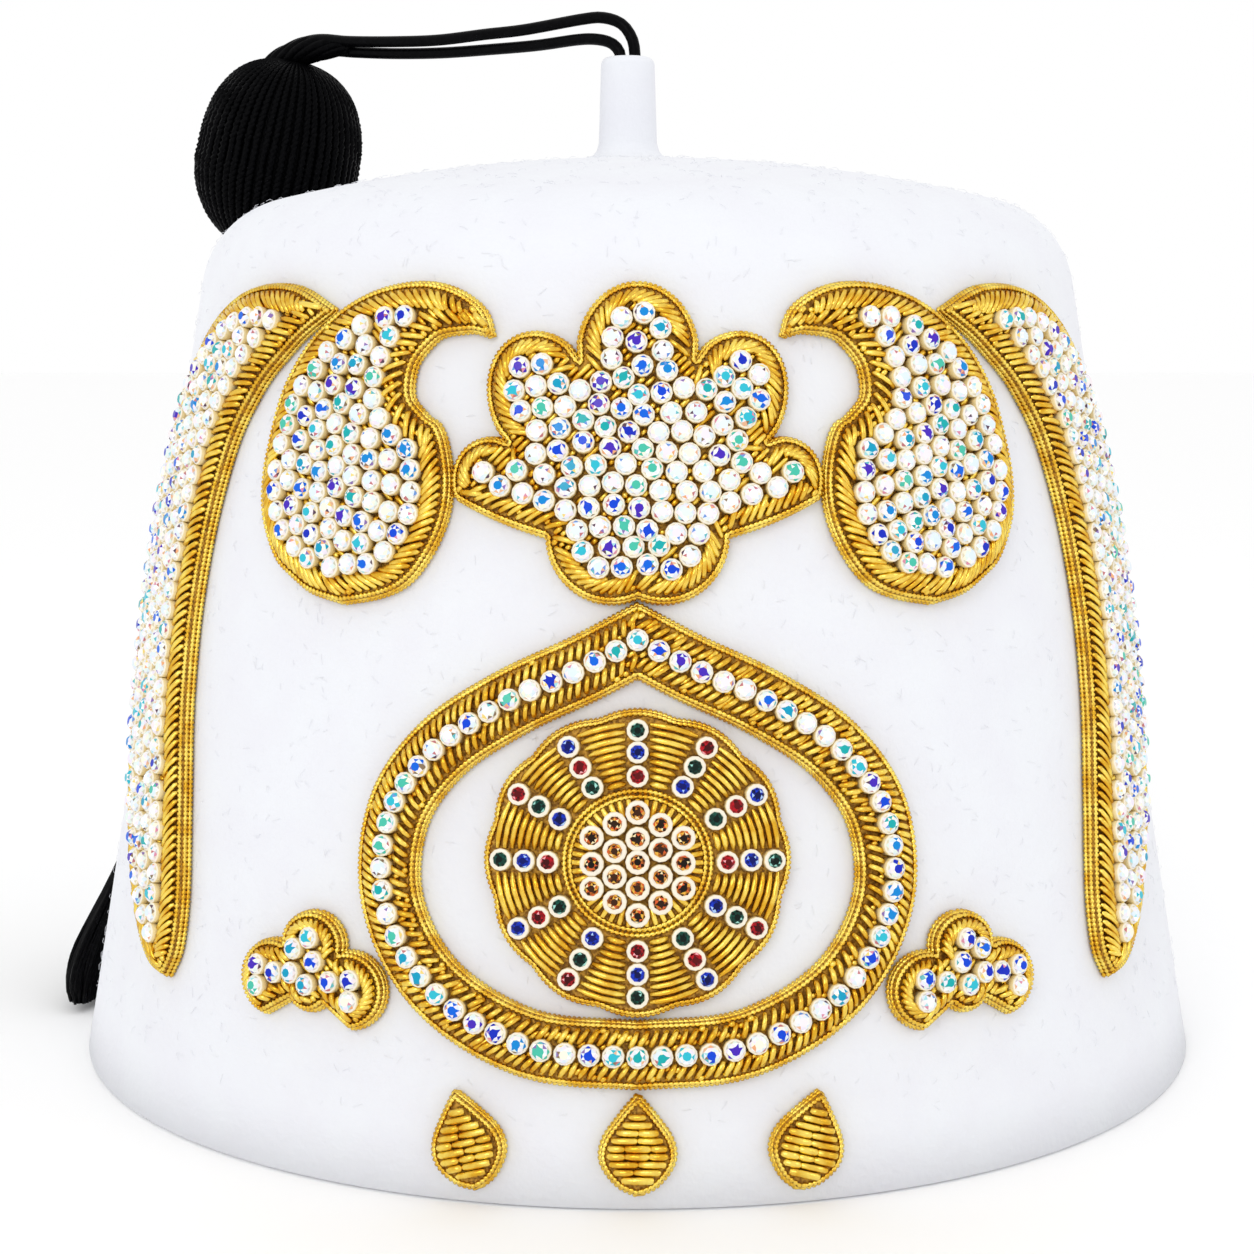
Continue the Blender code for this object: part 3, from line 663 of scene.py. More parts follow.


# Clear stones' outer facet colours are greyed and creamed as painted shade round each stone's edge; their
# pure white crown facets and the pale spots of the red, green and blue stones are painted glints.
LOOKS = {
    StoneColour.RAINBOW: StoneLook(
        ("0A44D0", "0C62D8", "1084D0", "1098BC", "18A6A8", "30B8CC", "142CB8", "48BCA4", "4628B4"),
        ("F4F2EE", "FFFFFF", "F2E8EC", "E2ECF4", "F8F2DC", "E2F0E8", "ECE4F4", "DCEAF6", "EEEEF0"),
        ("E0D6BC", "D8D8D2", "E6DEC4", "D2D4C4", "E2D4CA", "D2D2DA", "E8DCB8"),
        (
            "D88CA4", "ECA878", "F0D47C", "8A70B0", "6A94D8", "64B8C0", "C07478", "5A4054", "E8B490",
            "A4DCE4", "8A745A",
        ),
        share=0.90, fleck_chance=0.085, spread_chance=0.17,
    ),
    StoneColour.AMBER: StoneLook(
        ("120802", "1E0E04", "2C1606", "3C1E08"),
        ("C07A28", "9A4E14", "D89A40", "6A3410", "B85A1C"),
        ("A85E1C", "D8902C", "8E4A12"),
        ("F8E4B0", "E8B040", "1E0E04", "D85A28"),
        share=0.63, fleck_chance=0.32, spread_chance=0.22,
    ),
    StoneColour.GREEN: StoneLook(
        ("02140E", "031C16"), ("073A30", "0A4A3E", "052E26"), ("0E6050", "0A4E42"), ("9AD8CC", "02120C"),
        share=0.67, fleck_chance=0.12, spread_chance=0.25,
    ),
    StoneColour.RED: StoneLook(
        ("3E0206", "5A040A"), ("980A18", "B40C1C", "7A0610"), ("CC1424", "B00C1C"), ("F4A8B0", "3A0206"),
        share=0.67, fleck_chance=0.12, spread_chance=0.25,
    ),
    StoneColour.BLUE: StoneLook(
        ("030A48", "050E60"), ("0A2AA8", "0E34C4", "081E88"), ("1440D8", "0E34BC"), ("A8C8FA", "040A38"),
        share=0.67, fleck_chance=0.12, spread_chance=0.25,
    ),
}
# The cups' sides take a darker cream than their rims: painted shade between the stones.
CUP_RIM = "F3EBD8"
CUP_SIDE_SHADE = "F0DDA8"


@dataclass
class Stone:
    """One stone: where it sits in its motif's drawing, its size, its colour and how lively it is."""

    a: float
    b: float
    diameter: float = 0.00304
    colour: StoneColour = StoneColour.RAINBOW
    liveliness: float = 0.60


@dataclass
class StoneSetting:
    """Stones in cups on one motif, joined into one piece."""

    cup_height: float = 0.0020
    cup_sides: int = 12
    cup_edge: float = 0.12
    sunk: float = 0.0001
    facets: int = 8
    crystal_rise: float = 0.52
    shoulder: tuple[float, float] = (0.80, 0.58)
    table_share: float = 0.46
    beside_table: float = 0.55
    lean: float = 0.04
    rim: float = 0.11
    rim_dip: float = 0.00012
    level_normal: float = 0.95
    upright_normal: float = 0.3
    fleck_weights: tuple[float, float] = (1.4, 0.7)

    def cup(self, diameter: float) -> bpy.types.Mesh:
        """Makes a cup of that diameter with a bevelled rim and a shallow seat, standing on its own foot.

        Args:
            diameter: The cup's diameter.

        Returns:
            The cup's mesh.
        """
        bm = bmesh.new()
        bmesh.ops.create_cone(
            bm,
            cap_ends=True,
            segments=self.cup_sides,
            radius1=diameter / 2,
            radius2=diameter / 2,
            depth=self.cup_height,
            matrix=Matrix.Translation((0.0, 0.0, self.cup_height / 2)),
        )
        rim = [e for e in bm.edges if min(v.co.z for v in e.verts) > 0.9 * self.cup_height]
        bmesh.ops.bevel(
            bm,
            geom=rim,
            offset=diameter / 2 * self.cup_edge,
            affect="EDGES",
            segments=1,
            profile=0.5,
            material=-1,
        )
        top = max(bm.faces, key=lambda f: f.calc_center_median().z)
        bmesh.ops.inset_region(bm, faces=[top], thickness=diameter * self.rim, depth=-self.rim_dip)
        for face in bm.faces:
            face.smooth = face.normal.z > -0.5
        return finished(bm, "cup")

    def crystal(self, wide: float) -> bpy.types.Mesh:
        """Makes a cut crystal: a flat table, and two belts of triangular facets round it.

        Args:
            wide: The crystal's radius at its foot.

        Returns:
            The crystal's mesh, standing on its widest line.
        """
        bm = bmesh.new()
        rise = wide * self.crystal_rise
        shoulder, shoulder_rise = self.shoulder
        levels = ((1.0, 0.0, 0.0), (shoulder, shoulder_rise * rise, 0.5), (self.table_share, rise, 0.0))
        rings = []
        for share, height, turn in levels:
            turned = Matrix.Rotation(turn * 2 * math.pi / self.facets, 4, "Z")
            place = Matrix.Translation((0.0, 0.0, height)) @ turned
            made = bmesh.ops.create_circle(bm, segments=self.facets, radius=wide * share, matrix=place)
            rings.append(ring_edges(made["verts"]))
        bridged(bm, rings)
        bmesh.ops.triangulate(bm, faces=bm.faces[:])
        bmesh.ops.holes_fill(bm, edges=rings[0] + rings[-1], sides=0)
        bmesh.ops.recalc_face_normals(bm, faces=bm.faces)
        return finished(bm, "crystal")

    def facet_colours(self, stone: Stone, normals: list[Vector], chance: random.Random) -> list[str]:
        """Picks each facet's colour: a patch in the middle, pale facets beside it, outer facets that are
        greyed as painted shade at the edge on clear stones, and a few small spots, some of them painted
        glints.

        Args:
            stone: The stone.
            normals: The facets' own directions, before the stone is placed.
            chance: The stone's own random numbers.

        Returns:
            A hex colour for each facet.
        """
        look = LOOKS[stone.colour]
        inner_weight, outer_weight = self.fleck_weights
        lit = stone.colour is not StoneColour.RAINBOW or chance.random() < stone.liveliness
        table = chance.choice(look.tables if lit else look.crown)
        found = []
        for normal in normals:
            inner = normal.z > self.beside_table
            draw = chance.random()
            if normal.z > self.level_normal or (lit and inner and draw < look.spread_chance):
                found.append(table)
            # Outer facets on clear stones are greyed as painted shade; the pale spots are painted glints.
            elif draw > 1.0 - look.fleck_chance * (inner_weight if inner else outer_weight):
                found.append(chance.choice(look.flecks_and_glints))
            else:
                found.append(chance.choice(look.crown if inner else look.girdle_and_shade))
        return found

    def build(self, name: str, placement: Placement, stones: list[Stone], floor: float) -> bpy.types.Mesh:
        """Sets all the stones of a motif.

        Args:
            name: The mesh's name.
            placement: Where the motif lies.
            stones: The stones.
            floor: How far off the felt the cups stand.

        Returns:
            One mesh of all the cups, material 0, and crystals, material 1.
        """
        chance = random.Random(name)
        joined = bmesh.new()
        colours = joined.loops.layers.float_color.new(FACET_COLOUR)
        cups = {d: self.cup(d) for d in sorted({s.diameter for s in stones})}
        widths = sorted({s.diameter / 2 * LOOKS[s.colour].share for s in stones})
        crystals = {w: self.crystal(w) for w in widths}
        for stone in stones:
            seat = placement.seat(stone.a, stone.b, floor)
            lean = Matrix.Rotation(chance.gauss(0.0, self.lean), 4, "X")
            seat = seat @ lean @ Matrix.Rotation(chance.uniform(0.0, 2 * math.pi), 4, "Z")
            raised = seat @ Matrix.Translation((0.0, 0.0, self.cup_height - self.sunk))
            cup, crystal = cups[stone.diameter], crystals[stone.diameter / 2 * LOOKS[stone.colour].share]
            # Upright cup faces get the darker side colour as painted shade; the rest get the rim's colour.
            painted = [CUP_SIDE_SHADE if abs(p.normal.z) < self.upright_normal else CUP_RIM for p in cup.polygons]
            facets = self.facet_colours(stone, [p.normal for p in crystal.polygons], chance)
            for mesh, place, paint, index in ((cup, seat, painted, 0), (crystal, raised, facets, 1)):
                old_verts, old_faces = len(joined.verts), len(joined.faces)
                joined.from_mesh(mesh)
                joined.verts.ensure_lookup_table()
                joined.faces.ensure_lookup_table()
                bmesh.ops.transform(joined, matrix=place, verts=joined.verts[old_verts:])
                for face, colour in zip(joined.faces[old_faces:], paint):
                    face.material_index = index
                    for loop in face.loops:
                        loop[colours] = linear(colour)
        return finished(joined, name)


@dataclass(frozen=True)
class Packing:
    """How stones are packed: shares of their pitch, weights and numbers of rounds."""

    grid_steps: int = 12
    inwards: float = 0.8
    beside_two: float = 0.35
    extra: float = 0.13
    evening_rounds: int = 20
    pushing_rounds: int = 80
    push: float = 0.4
    stray: float = 0.0003
    least: float = 0.92
    widest_gap: float = 0.89


def packed_places(outline: Outline, pitch: float, margin: float) -> list[tuple[float, float]]:
    """Packs stones along the outline first and then inwards, evens them out and fills what gaps are left.

    Args:
        outline: The motif's outline.
        pitch: Distance between neighbouring stones.
        margin: Least distance from a stone's middle to the outline.

    Returns:
        Places (a, b) of the stones.
    """
    rule = Packing()
    low, high = outline.loops[0].min(0), outline.loops[0].max(0)
    step = pitch / rule.grid_steps
    grid_a, grid_b = np.meshgrid(np.arange(low[0], high[0], step), np.arange(low[1], high[1], step))
    grid = np.stack([grid_a.ravel(), grid_b.ravel()], axis=1)
    depths = outline.depth(grid)
    points, point_depths = grid[depths >= margin], depths[depths >= margin]
    cells = grid[depths >= margin - pitch / 2]
    places = [points[np.argmin(point_depths - 0.5 * points[:, 1])]]
    nearest = np.linalg.norm(points - places[0], axis=1)
    second = np.full(len(points), 4 * pitch)
    while (nearest >= pitch).any():
        score = (point_depths - margin) * rule.inwards + nearest
        score = score + rule.beside_two * np.minimum(second, 2 * pitch)
        place = points[np.argmin(np.where(nearest >= pitch, score, np.inf))]
        places.append(place)
        gap = np.linalg.norm(points - place, axis=1)
        second = np.minimum(second, np.maximum(nearest, gap))
        nearest = np.minimum(nearest, gap)
    for _ in range(round(rule.extra * len(places))):
        gaps = np.linalg.norm(points[:, None] - np.array(places)[None], axis=2).min(1)
        places.append(points[np.argmax(gaps)])
    spots = np.array(places)
    for _ in range(rule.evening_rounds):
        owner = np.linalg.norm(cells[:, None] - spots[None], axis=2).argmin(1)
        counts = np.maximum(np.bincount(owner, minlength=len(spots)), 1)[:, None]
        sums = np.stack([np.bincount(owner, cells[:, k], len(spots)) for k in (0, 1)], axis=1)
        spots = sums / counts
    for _ in range(rule.pushing_rounds):
        offset = spots[:, None] - spots[None]
        gap = np.linalg.norm(offset, axis=2) + np.eye(len(spots))
        pushes = offset / gap[..., None] * np.clip(pitch - gap, 0, None)[..., None]
        spots = spots + pushes.sum(1) * rule.push
        astray = outline.depth(spots) < margin - rule.stray
        if astray.any():
            home = np.linalg.norm(points[:, None] - spots[astray][None], axis=2).argmin(0)
            spots[astray] = points[home]
    kept: list[np.ndarray] = []
    for spot in spots:
        if all(np.linalg.norm(spot - other) > rule.least * pitch for other in kept):
            kept.append(spot)
    while True:
        gaps = np.linalg.norm(points[:, None] - np.array(kept)[None], axis=2).min(1)
        if gaps.max() < rule.widest_gap * pitch:
            break
        kept.append(points[np.argmax(gaps)])
    return [(float(a), float(b)) for a, b in kept]


# Goldwork


@dataclass
class Goldwork:
    """Laid purl strokes and ribbed edge cords on one motif's padding."""

    foot: float = 0.0002
    floor: float = 0.0019
    band: float = 0.0039
    start: float = 0.0011
    spare: float = 0.0012
    least_stroke: float = 0.0012
    least_gain: float = 0.3
    stroke_steps: int = 18
    slant_spread: float = 0.05
    wire: float = 0.00043
    wire_spread: tuple[float, float] = (0.92, 1.08)
    lift: float = 0.8
    pitch: float = 0.00128
    slant: float = math.radians(44.0)
    edge_wire: float = 0.00042
    rib: float = 0.00068
    rib_groove: float = 0.42
    arch: float = 0.0007
    stack: tuple[tuple[float, float], ...] = ((-0.00012, 0.00055), (-0.00002, 0.00125), (0.00034, 0.00200))
    row_pitch: float = 0.00098
    row_margin: float = 0.00125
    row_scan: float = 0.0001
    row_least: int = 8
    row_longest: float = 0.0042
    row_pieces: tuple[float, float] = (0.0016, 0.0038)
    row_gap: float = 0.00006
    line_points: int = 12
    bends: tuple[tuple[float, float, float], ...] = (
        (0.0, -0.25, 0.80), (0.08, 0.25, 1.0), (0.35, 0.85, 1.0),
        (0.65, 1.0, 1.0), (0.92, 0.75, 1.0), (1.0, 0.5, 0.80),
    )
    fill_pitch: float = 0.00088
    fill_step: float = 0.00022
    fill_margin: float = 0.0008
    fill_clear: float = 0.00158
    fill_arch: float = 0.0002
    pad_step: float = 0.0009
    pad_slice: float = 0.0025

    def strokes(self, outline: Outline, placement: Placement, seed: str, laid: list[np.ndarray]) -> list[Run]:
        """Lays slanted strokes from each edge towards the stones.

        Args:
            outline: The motif's outline.
            placement: Where the motif lies.
            seed: What the small irregularities depend on.
            laid: Gets each stroke's flat points.

        Returns:
            The strokes.
        """
        chance = random.Random(seed)
        found = []
        steps = self.stroke_steps
        reach = (self.band - self.spare) / math.cos(self.slant)
        shares = np.linspace(0.0, 1.0, steps)
        for loop in outline.loops:
            points, inward = outline.stations(loop, self.pitch)
            along = np.stack([inward[:, 1], -inward[:, 0]], axis=1)
            slants = np.array([self.slant + chance.gauss(0.0, self.slant_spread) for _ in points])[:, None]
            heading = inward * np.cos(slants) + along * np.sin(slants)
            starts = (points + inward * self.start)[:, None]
            lines = starts + heading[:, None] * (shares * reach)[None, :, None]
            depths = outline.depth(lines.reshape(-1, 2)).reshape(len(points), steps)
            gains = np.diff(depths, axis=1)
            for line, gain in zip(lines, gains):
                falling = np.nonzero(gain < self.least_gain * reach / steps * math.cos(self.slant))[0]
                last = falling[0] if len(falling) else steps - 1
                if last * reach / steps > self.least_stroke:
                    found.append(self.stroke(line[: last + 1], placement, chance, self.arch))
                    laid.append(line[: last + 1 : 2])
        return found

    def filling(
        self, outline: Outline, placement: Placement, seed: str, lines: list[np.ndarray], stones: list[Stone]
    ) -> list[Run]:
        """Fills the ground that strokes and cups leave bare with short pieces of purl.

        Args:
            outline: The motif's outline.
            placement: Where the motif lies.
            seed: What the small irregularities depend on.
            lines: The strokes' flat points.
            stones: The motif's stones.

        Returns:
            The pieces.
        """
        chance = random.Random(seed + "_filling")
        low, high = outline.loops[0].min(0), outline.loops[0].max(0)
        middle, half = (low + high) / 2, float(np.linalg.norm(high - low)) / 2
        heading = np.array([math.cos(self.slant), math.sin(self.slant)])
        across = np.array([-heading[1], heading[0]])
        taken = np.concatenate(lines)
        centres = np.array([(s.a, s.b) for s in stones])
        along = np.arange(-half, half, self.fill_step)
        found = []
        for shift in np.arange(-half, half, self.fill_pitch):
            spots = middle + along[:, None] * heading + shift * across
            free = outline.depth(spots) > self.fill_margin
            if not free.any():
                continue
            free &= np.linalg.norm(spots[:, None] - centres[None], axis=2).min(1) > self.fill_clear
            free &= np.linalg.norm(spots[:, None] - taken[None], axis=2).min(1) > self.wire
            turns = np.flatnonzero(np.diff(np.concatenate([[0], free.astype(int), [0]])))
            for first, last in turns.reshape(-1, 2):
                if last - first > 2:
                    line = np.linspace(spots[first], spots[last - 1], self.line_points)
                    found.append(self.stroke(line, placement, chance, self.fill_arch))
        return found

    def stroke(self, line: np.ndarray, placement: Placement, chance: random.Random, arch: float) -> Run:
        """Bends one stroke over the padding.

        Args:
            line: Its flat points.
            placement: Where the motif lies.
            chance: Random numbers for its size.
            arch: How high it rises in its middle.

        Returns:
            The stroke.
        """
        radius = self.wire * chance.uniform(*self.wire_spread)
        points, radii = [], []
        for share, rise, fullness in self.bends:
            a, b = line[round(share * (len(line) - 1))]
            points.append(placement.point(a, b, self.floor + radius * self.lift + arch * rise))
            radii.append(radius * fullness)
        return Run(points, radii)

    def rows(self, outline: Outline, placement: Placement, seed: str, laid: list[np.ndarray]) -> list[Run]:
        """Lays level rows of purl across a small motif, each in broken pieces.

        Args:
            outline: The motif's outline.
            placement: Where the motif lies.
            seed: What the breaks depend on.
            laid: Gets each piece's flat points.

        Returns:
            The pieces.
        """
        chance = random.Random(seed)
        low, high = outline.loops[0].min(0), outline.loops[0].max(0)
        across = np.arange(low[0], high[0], self.row_scan)
        found = []
        for b in np.arange(low[1] + self.row_pitch, high[1], self.row_pitch):
            depths = outline.depth(np.stack([across, np.full(len(across), b)], axis=1))
            inside = across[depths > self.row_margin]
            if len(inside) < self.row_least:
                continue
            cuts = [inside[0]]
            while inside[-1] - cuts[-1] > self.row_longest:
                cuts.append(cuts[-1] + chance.uniform(*self.row_pieces))
            for left, right in zip(cuts, cuts[1:] + [inside[-1]]):
                line = np.linspace((left + self.row_gap, b), (right - self.row_gap, b), self.line_points)
                found.append(self.stroke(line, placement, chance, self.arch))
                laid.append(line)
        return found

    def edge(self, outline: Outline, loop: np.ndarray, placement: Placement, inset: float, out: float) -> Run:
        """Runs a ribbed cord along one loop of an outline.

        Args:
            outline: The motif's outline.
            loop: The loop.
            placement: Where the motif lies.
            inset: How far inside the loop the cord's middle lies.
            out: How far off the felt the cord's middle lies.

        Returns:
            The cord.
        """
        points, inward = outline.stations(loop, self.rib / 3)
        moved = (points + inward * inset)[: len(points) // 3 * 3]
        radii = [self.edge_wire * (1.0 if i % 3 else self.rib_groove) for i in range(len(moved))]
        return Run([placement.point(a, b, out) for a, b in moved], radii, closed=True)

    def pad(self, name: str, outline: Outline, placement: Placement) -> bpy.types.Mesh:
        """Makes the padding under the goldwork, bent onto the crown.

        Args:
            name: The mesh's name.
            outline: The motif's outline.
            placement: Where the motif lies.

        Returns:
            The padding's mesh.
        """
        bm = bmesh.new()
        for loop in outline.loops:
            points, _ = outline.stations(loop, self.pad_step)
            verts = [bm.verts.new((a, b, 0.0)) for a, b in points]
            for pair in zip(verts, verts[1:] + verts[:1]):
                bm.edges.new(pair)
        bmesh.ops.triangle_fill(bm, use_beauty=True, use_dissolve=False, edges=bm.edges[:])
        low, high = outline.loops[0].min(0)[0], outline.loops[0].max(0)[0]
        for place in np.arange(low, high, self.pad_slice)[1:]:
            geometry = bm.verts[:] + bm.edges[:] + bm.faces[:]
            cut, across = (place, 0.0, 0.0), (1.0, 0.0, 0.0)
            bmesh.ops.bisect_plane(bm, geom=geometry, plane_co=cut, plane_no=across, dist=1e-6)
        raised = bmesh.ops.extrude_face_region(bm, geom=bm.faces[:], use_keep_orig=True)["geom"]
        top = [part for part in raised if isinstance(part, bmesh.types.BMVert)]
        bmesh.ops.translate(bm, vec=(0.0, 0.0, 1.0), verts=top)
        for vert in bm.verts:
            out = self.floor if vert.co.z > 0.5 else self.foot
            vert.co = placement.point(vert.co.x, vert.co.y, out)
        bmesh.ops.recalc_face_normals(bm, faces=bm.faces)
        return finished(bm, name)

    def edges(self, outline: Outline, placement: Placement) -> list[Run]:
        """Stacks ribbed cords round every loop, from the felt up to the padding's top.

        Args:
            outline: The motif's outline.
            placement: Where the motif lies.

        Returns:
            The cords.
        """
        return [
            self.edge(outline, loop, placement, inset, out)
            for loop in outline.loops
            for inset, out in self.stack
        ]


@dataclass
class Motif:
    """One goldwork motif: its outline, where it lies, its stones and its goldwork."""

    name: str
    outline: Outline
    placement: Placement
    goldwork: Goldwork = field(default_factory=Goldwork)
    stone_nodes: dict[str, list[Stone]] = field(default_factory=dict)
    extra_runs: list[Run] = field(default_factory=list)
    ground_node: str = ""
    laid: bool = False

    def build(self) -> None:
        """Lays the goldwork over padding of its own, in place of the CAD goldwork, and sets the stones in
        place of their fields.
        """
        lay = self.goldwork.rows if self.laid else self.goldwork.strokes
        lines: list[np.ndarray] = []
        runs = lay(self.outline, self.placement, self.name, lines) if self.goldwork.band else []
        stones = [stone for group in self.stone_nodes.values() for stone in group]
        if lines and stones:
            runs += self.goldwork.filling(self.outline, self.placement, self.name, lines, stones)
        runs += self.goldwork.edges(self.outline, self.placement) + self.extra_runs
        purl = self.name + "_purl"
        add_piece(purl, run_mesh(purl, runs, 1), [GILT_PURL], "gold_purl")
        pad = self.goldwork.pad(self.name + "_padding", self.outline, self.placement)
        ground = add_piece(self.name + "_padding", pad, [GOLD_THREAD_SHADE_GLINTS], "gold_purl")
        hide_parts(self.ground_node or self.name + "_goldwork")
        setting = StoneSetting()
        for node, stones in self.stone_nodes.items():
            mesh = setting.build(node + "_set", self.placement, stones, self.goldwork.floor - 0.0001)
            piece = add_piece(node + "_set", mesh, [PEARL_CUP, CUT_CRYSTAL], node_slot(node))
            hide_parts(node)
            LOG.info("%s: %d stones", node, len(stones))


def node_slot(node: str) -> str:
    """Finds the material slot of a field of stones.

    Args:
        node: The field's CAD node.

    Returns:
        The slot.
    """
    slots = {"medallion_amber_stones": "amber_stone", "medallion_colour_stones": "colour_stone"}
    return slots.get(node, "crystal")


@dataclass
class MotifBook:
    """The drawings of all the motifs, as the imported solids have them."""

    leaf_length: float = 0.1000
    leaf_width: float = 0.0215
    leaf_azimuth: float = math.radians(55.8391)
    leaf_height: float = 0.02276802
    boteh_length: float = 0.0440
    boteh_width: float = 0.0320
    boteh_azimuth: float = math.radians(30.9161)
    boteh_height: float = 0.08031295
    palmette_base: float = 0.09039452
    palmette_top_lobe: float = 0.0344170
    palmette_side_lobe: float = 0.0255
    palmette_foot: float = 0.0080
    palmette_valley: float = 0.74
    medallion_height: float = 0.0466
    medallion_size: float = 0.0203
    medallion_rings: tuple = (0.00885, 0.00965)
    laid_radii: tuple = (0.01070, 0.0193)
    ray_half_width: float = 0.00165
    ray_start: float = 0.0116
    ray_step: float = 0.0031
    ray_stone: float = 0.0030
    amber_stone: float = 0.0033
    amber_pitch: float = 0.0034
    least_row: float = 0.0006
    row_bends: tuple = (
        (-0.99, 0.0, 0.7), (-0.6, 0.0003, 0.98), (0.0, 0.0005, 1.0), (0.6, 0.0003, 0.98), (0.99, 0.0, 0.7),
    )
    collar_strokes: int = 44
    collar_rise: tuple = ((0.0084, 0.0), (0.0078, 0.0003), (0.0071, 0.0003), (0.0062, 0.0))
    frame_clearance: float = 0.0257
    frame_band: float = 0.0084
    frame_pitch: float = 0.00312
    sprig_azimuth: float = math.radians(30.7461)
    sprig_height: float = 0.0270
    sprig_width: float = 0.0240
    sprig_rise: float = 0.0160
    bud_length: float = 0.0130
    bud_spread: float = 0.0215
    bud_height: float = 0.0025
    bud_lean: float = math.radians(16.0)
    rays: int = 12
    stone_pitch: float = 0.00296
    leaf_sections: tuple = (
        (-0.250, 0.985, 0.00), (-0.160, 0.975, 0.22), (-0.060, 0.930, 0.38),
        (0.025, 0.840, 0.47), (0.075, 0.700, 0.50), (0.090, 0.540, 0.50),
        (0.070, 0.380, 0.48), (0.025, 0.230, 0.44), (-0.030, 0.100, 0.33),
        (-0.065, 0.030, 0.18), (-0.080, 0.000, 0.00),
    )
    boteh_sections: tuple = (
        (0.00, 0.000, 0.00), (0.00, 0.035, 0.21), (0.00, 0.120, 0.38),
        (0.01, 0.280, 0.49), (0.03, 0.450, 0.49), (0.04, 0.610, 0.41),
        (0.00, 0.750, 0.30), (-0.10, 0.865, 0.20), (-0.24, 0.925, 0.12),
        (-0.37, 0.905, 0.06), (-0.44, 0.850, 0.00),
    )
    bud_sections: tuple = (
        (0.0, 0.00, 0.00), (0.0, 0.10, 0.20), (0.0, 0.32, 0.36),
        (0.0, 0.55, 0.34), (0.0, 0.80, 0.17), (0.0, 1.00, 0.00),
    )
    frame_sections: tuple = (
        (0.00, -1.00), (0.58, -0.95), (1.08, -0.68),
        (1.33, -0.26), (1.30, 0.20), (1.05, 0.56),
        (0.67, 0.82), (0.28, 1.01), (0.00, 1.16),
    )

    def palmette_radius(self, angle: float) -> float:
        """Fans five lobes out over the top, and closes the bottom with a short foot.

        Args:
            angle: Angle from straight up.

        Returns:
            The outline's radius there.
        """
        angle = abs(math.remainder(angle, 2 * math.pi))
        if angle >= math.pi / 2:
            return self.palmette_foot * (1.0 + 0.5 * math.sin(angle))
        reach = self.palmette_side_lobe
        reach += (self.palmette_top_lobe - self.palmette_side_lobe) * math.cos(angle) ** 2
        crest = abs(math.cos(5 * angle)) ** 0.6
        fade = min(1.0, (math.pi / 2 - angle) / 0.2)
        lobed = reach * (self.palmette_valley + (1.0 - self.palmette_valley) * crest)
        return self.palmette_foot * 1.5 * (1.0 - fade) + lobed * fade

    def medallion_radius(self, angle: float) -> float:
        """A round edge with twelve shallow scallops."""
        return self.medallion_size * (0.965 + 0.035 * abs(math.cos(self.rays * angle / 2)))

    def sprig_radius(self, angle: float) -> float:
        """Spreads three lobes: left, up and right.

        Args:
            angle: Angle from straight up.

        Returns:
            The outline's radius there.
        """
        angle = abs(math.remainder(angle, 2 * math.pi))
        if angle > math.radians(125):
            return 0.22 * self.sprig_rise
        crest = abs(math.cos(2 * angle)) ** 0.8
        upward = 0.62 * self.sprig_rise
        reach = upward + (self.sprig_width / 2 - upward) * math.sin(angle) ** 2
        return reach * (0.62 + 0.38 * crest)

    def frame_loop(self, offset: float) -> list[tuple[float, float]]:
        """Makes a loop beside the onion frame's middle line.

        Args:
            offset: How far outside the middle line it runs.

        Returns:
            The loop's points.
        """
        scaled = [(a * self.frame_clearance, b * self.frame_clearance) for a, b in self.frame_sections]
        half = catmull(scaled, 6)
        moved = []
        for i, point in enumerate(half):
            before = half[i - 1] if i else (-half[1][0], half[1][1])
            after = half[min(i + 1, len(half) - 1)]
            along = Vector((after[0] - before[0], after[1] - before[1])).normalized()
            moved.append((point[0] + along.y * offset, point[1] - along.x * offset))
        right = [p for p in moved[1:] if p[0] > 0.0004]
        (x0, y0), (x1, y1) = right[-2:]
        tip = (0.0, y1 - x1 * (y1 - y0) / (x1 - x0))
        return [(0.0, moved[0][1])] + right + [tip] + [(-x, y) for x, y in right[::-1]]

    def field(self, outline: Outline, margin: float, liveliness: float) -> list[Stone]:
        """Fills a motif with small crystals, margin or more from its outline."""
        places = packed_places(outline, self.stone_pitch, margin)
        return [Stone(a, b, liveliness=liveliness) for a, b in places]

    def leaves(self) -> list[Motif]:
        """Draws the long curved leaves at both sides.

        Returns:
            Both motifs.
        """
        outline = Outline(ribbon_loop(self.leaf_sections, self.leaf_length, self.leaf_width))
        stones = self.field(outline, margin=0.0049, liveliness=0.36)
        return self.pair("leaf", outline, self.leaf_azimuth, self.leaf_height, stones, Goldwork())

    def botehs(self) -> list[Motif]:
        """Draws the teardrops with a curled tip, beside the palmette.

        Returns:
            Both motifs.
        """
        outline = Outline(ribbon_loop(self.boteh_sections, self.boteh_length, self.boteh_width))
        stones = self.field(outline, margin=0.0046, liveliness=0.56)
        gold = Goldwork(band=0.0036)
        return self.pair("boteh", outline, self.boteh_azimuth, self.boteh_height, stones, gold)

    def sprigs(self) -> list[Motif]:
        """Draws the small three-lobed flowers beside the frame.

        Returns:
            Both motifs.
        """
        outline = Outline(lobed_loop(self.sprig_radius, 96))
        stones = self.field(outline, margin=0.0033, liveliness=0.70)
        gold = Goldwork(band=0.0026, pitch=0.0012)
        return self.pair("sprig", outline, self.sprig_azimuth, self.sprig_height, stones, gold)

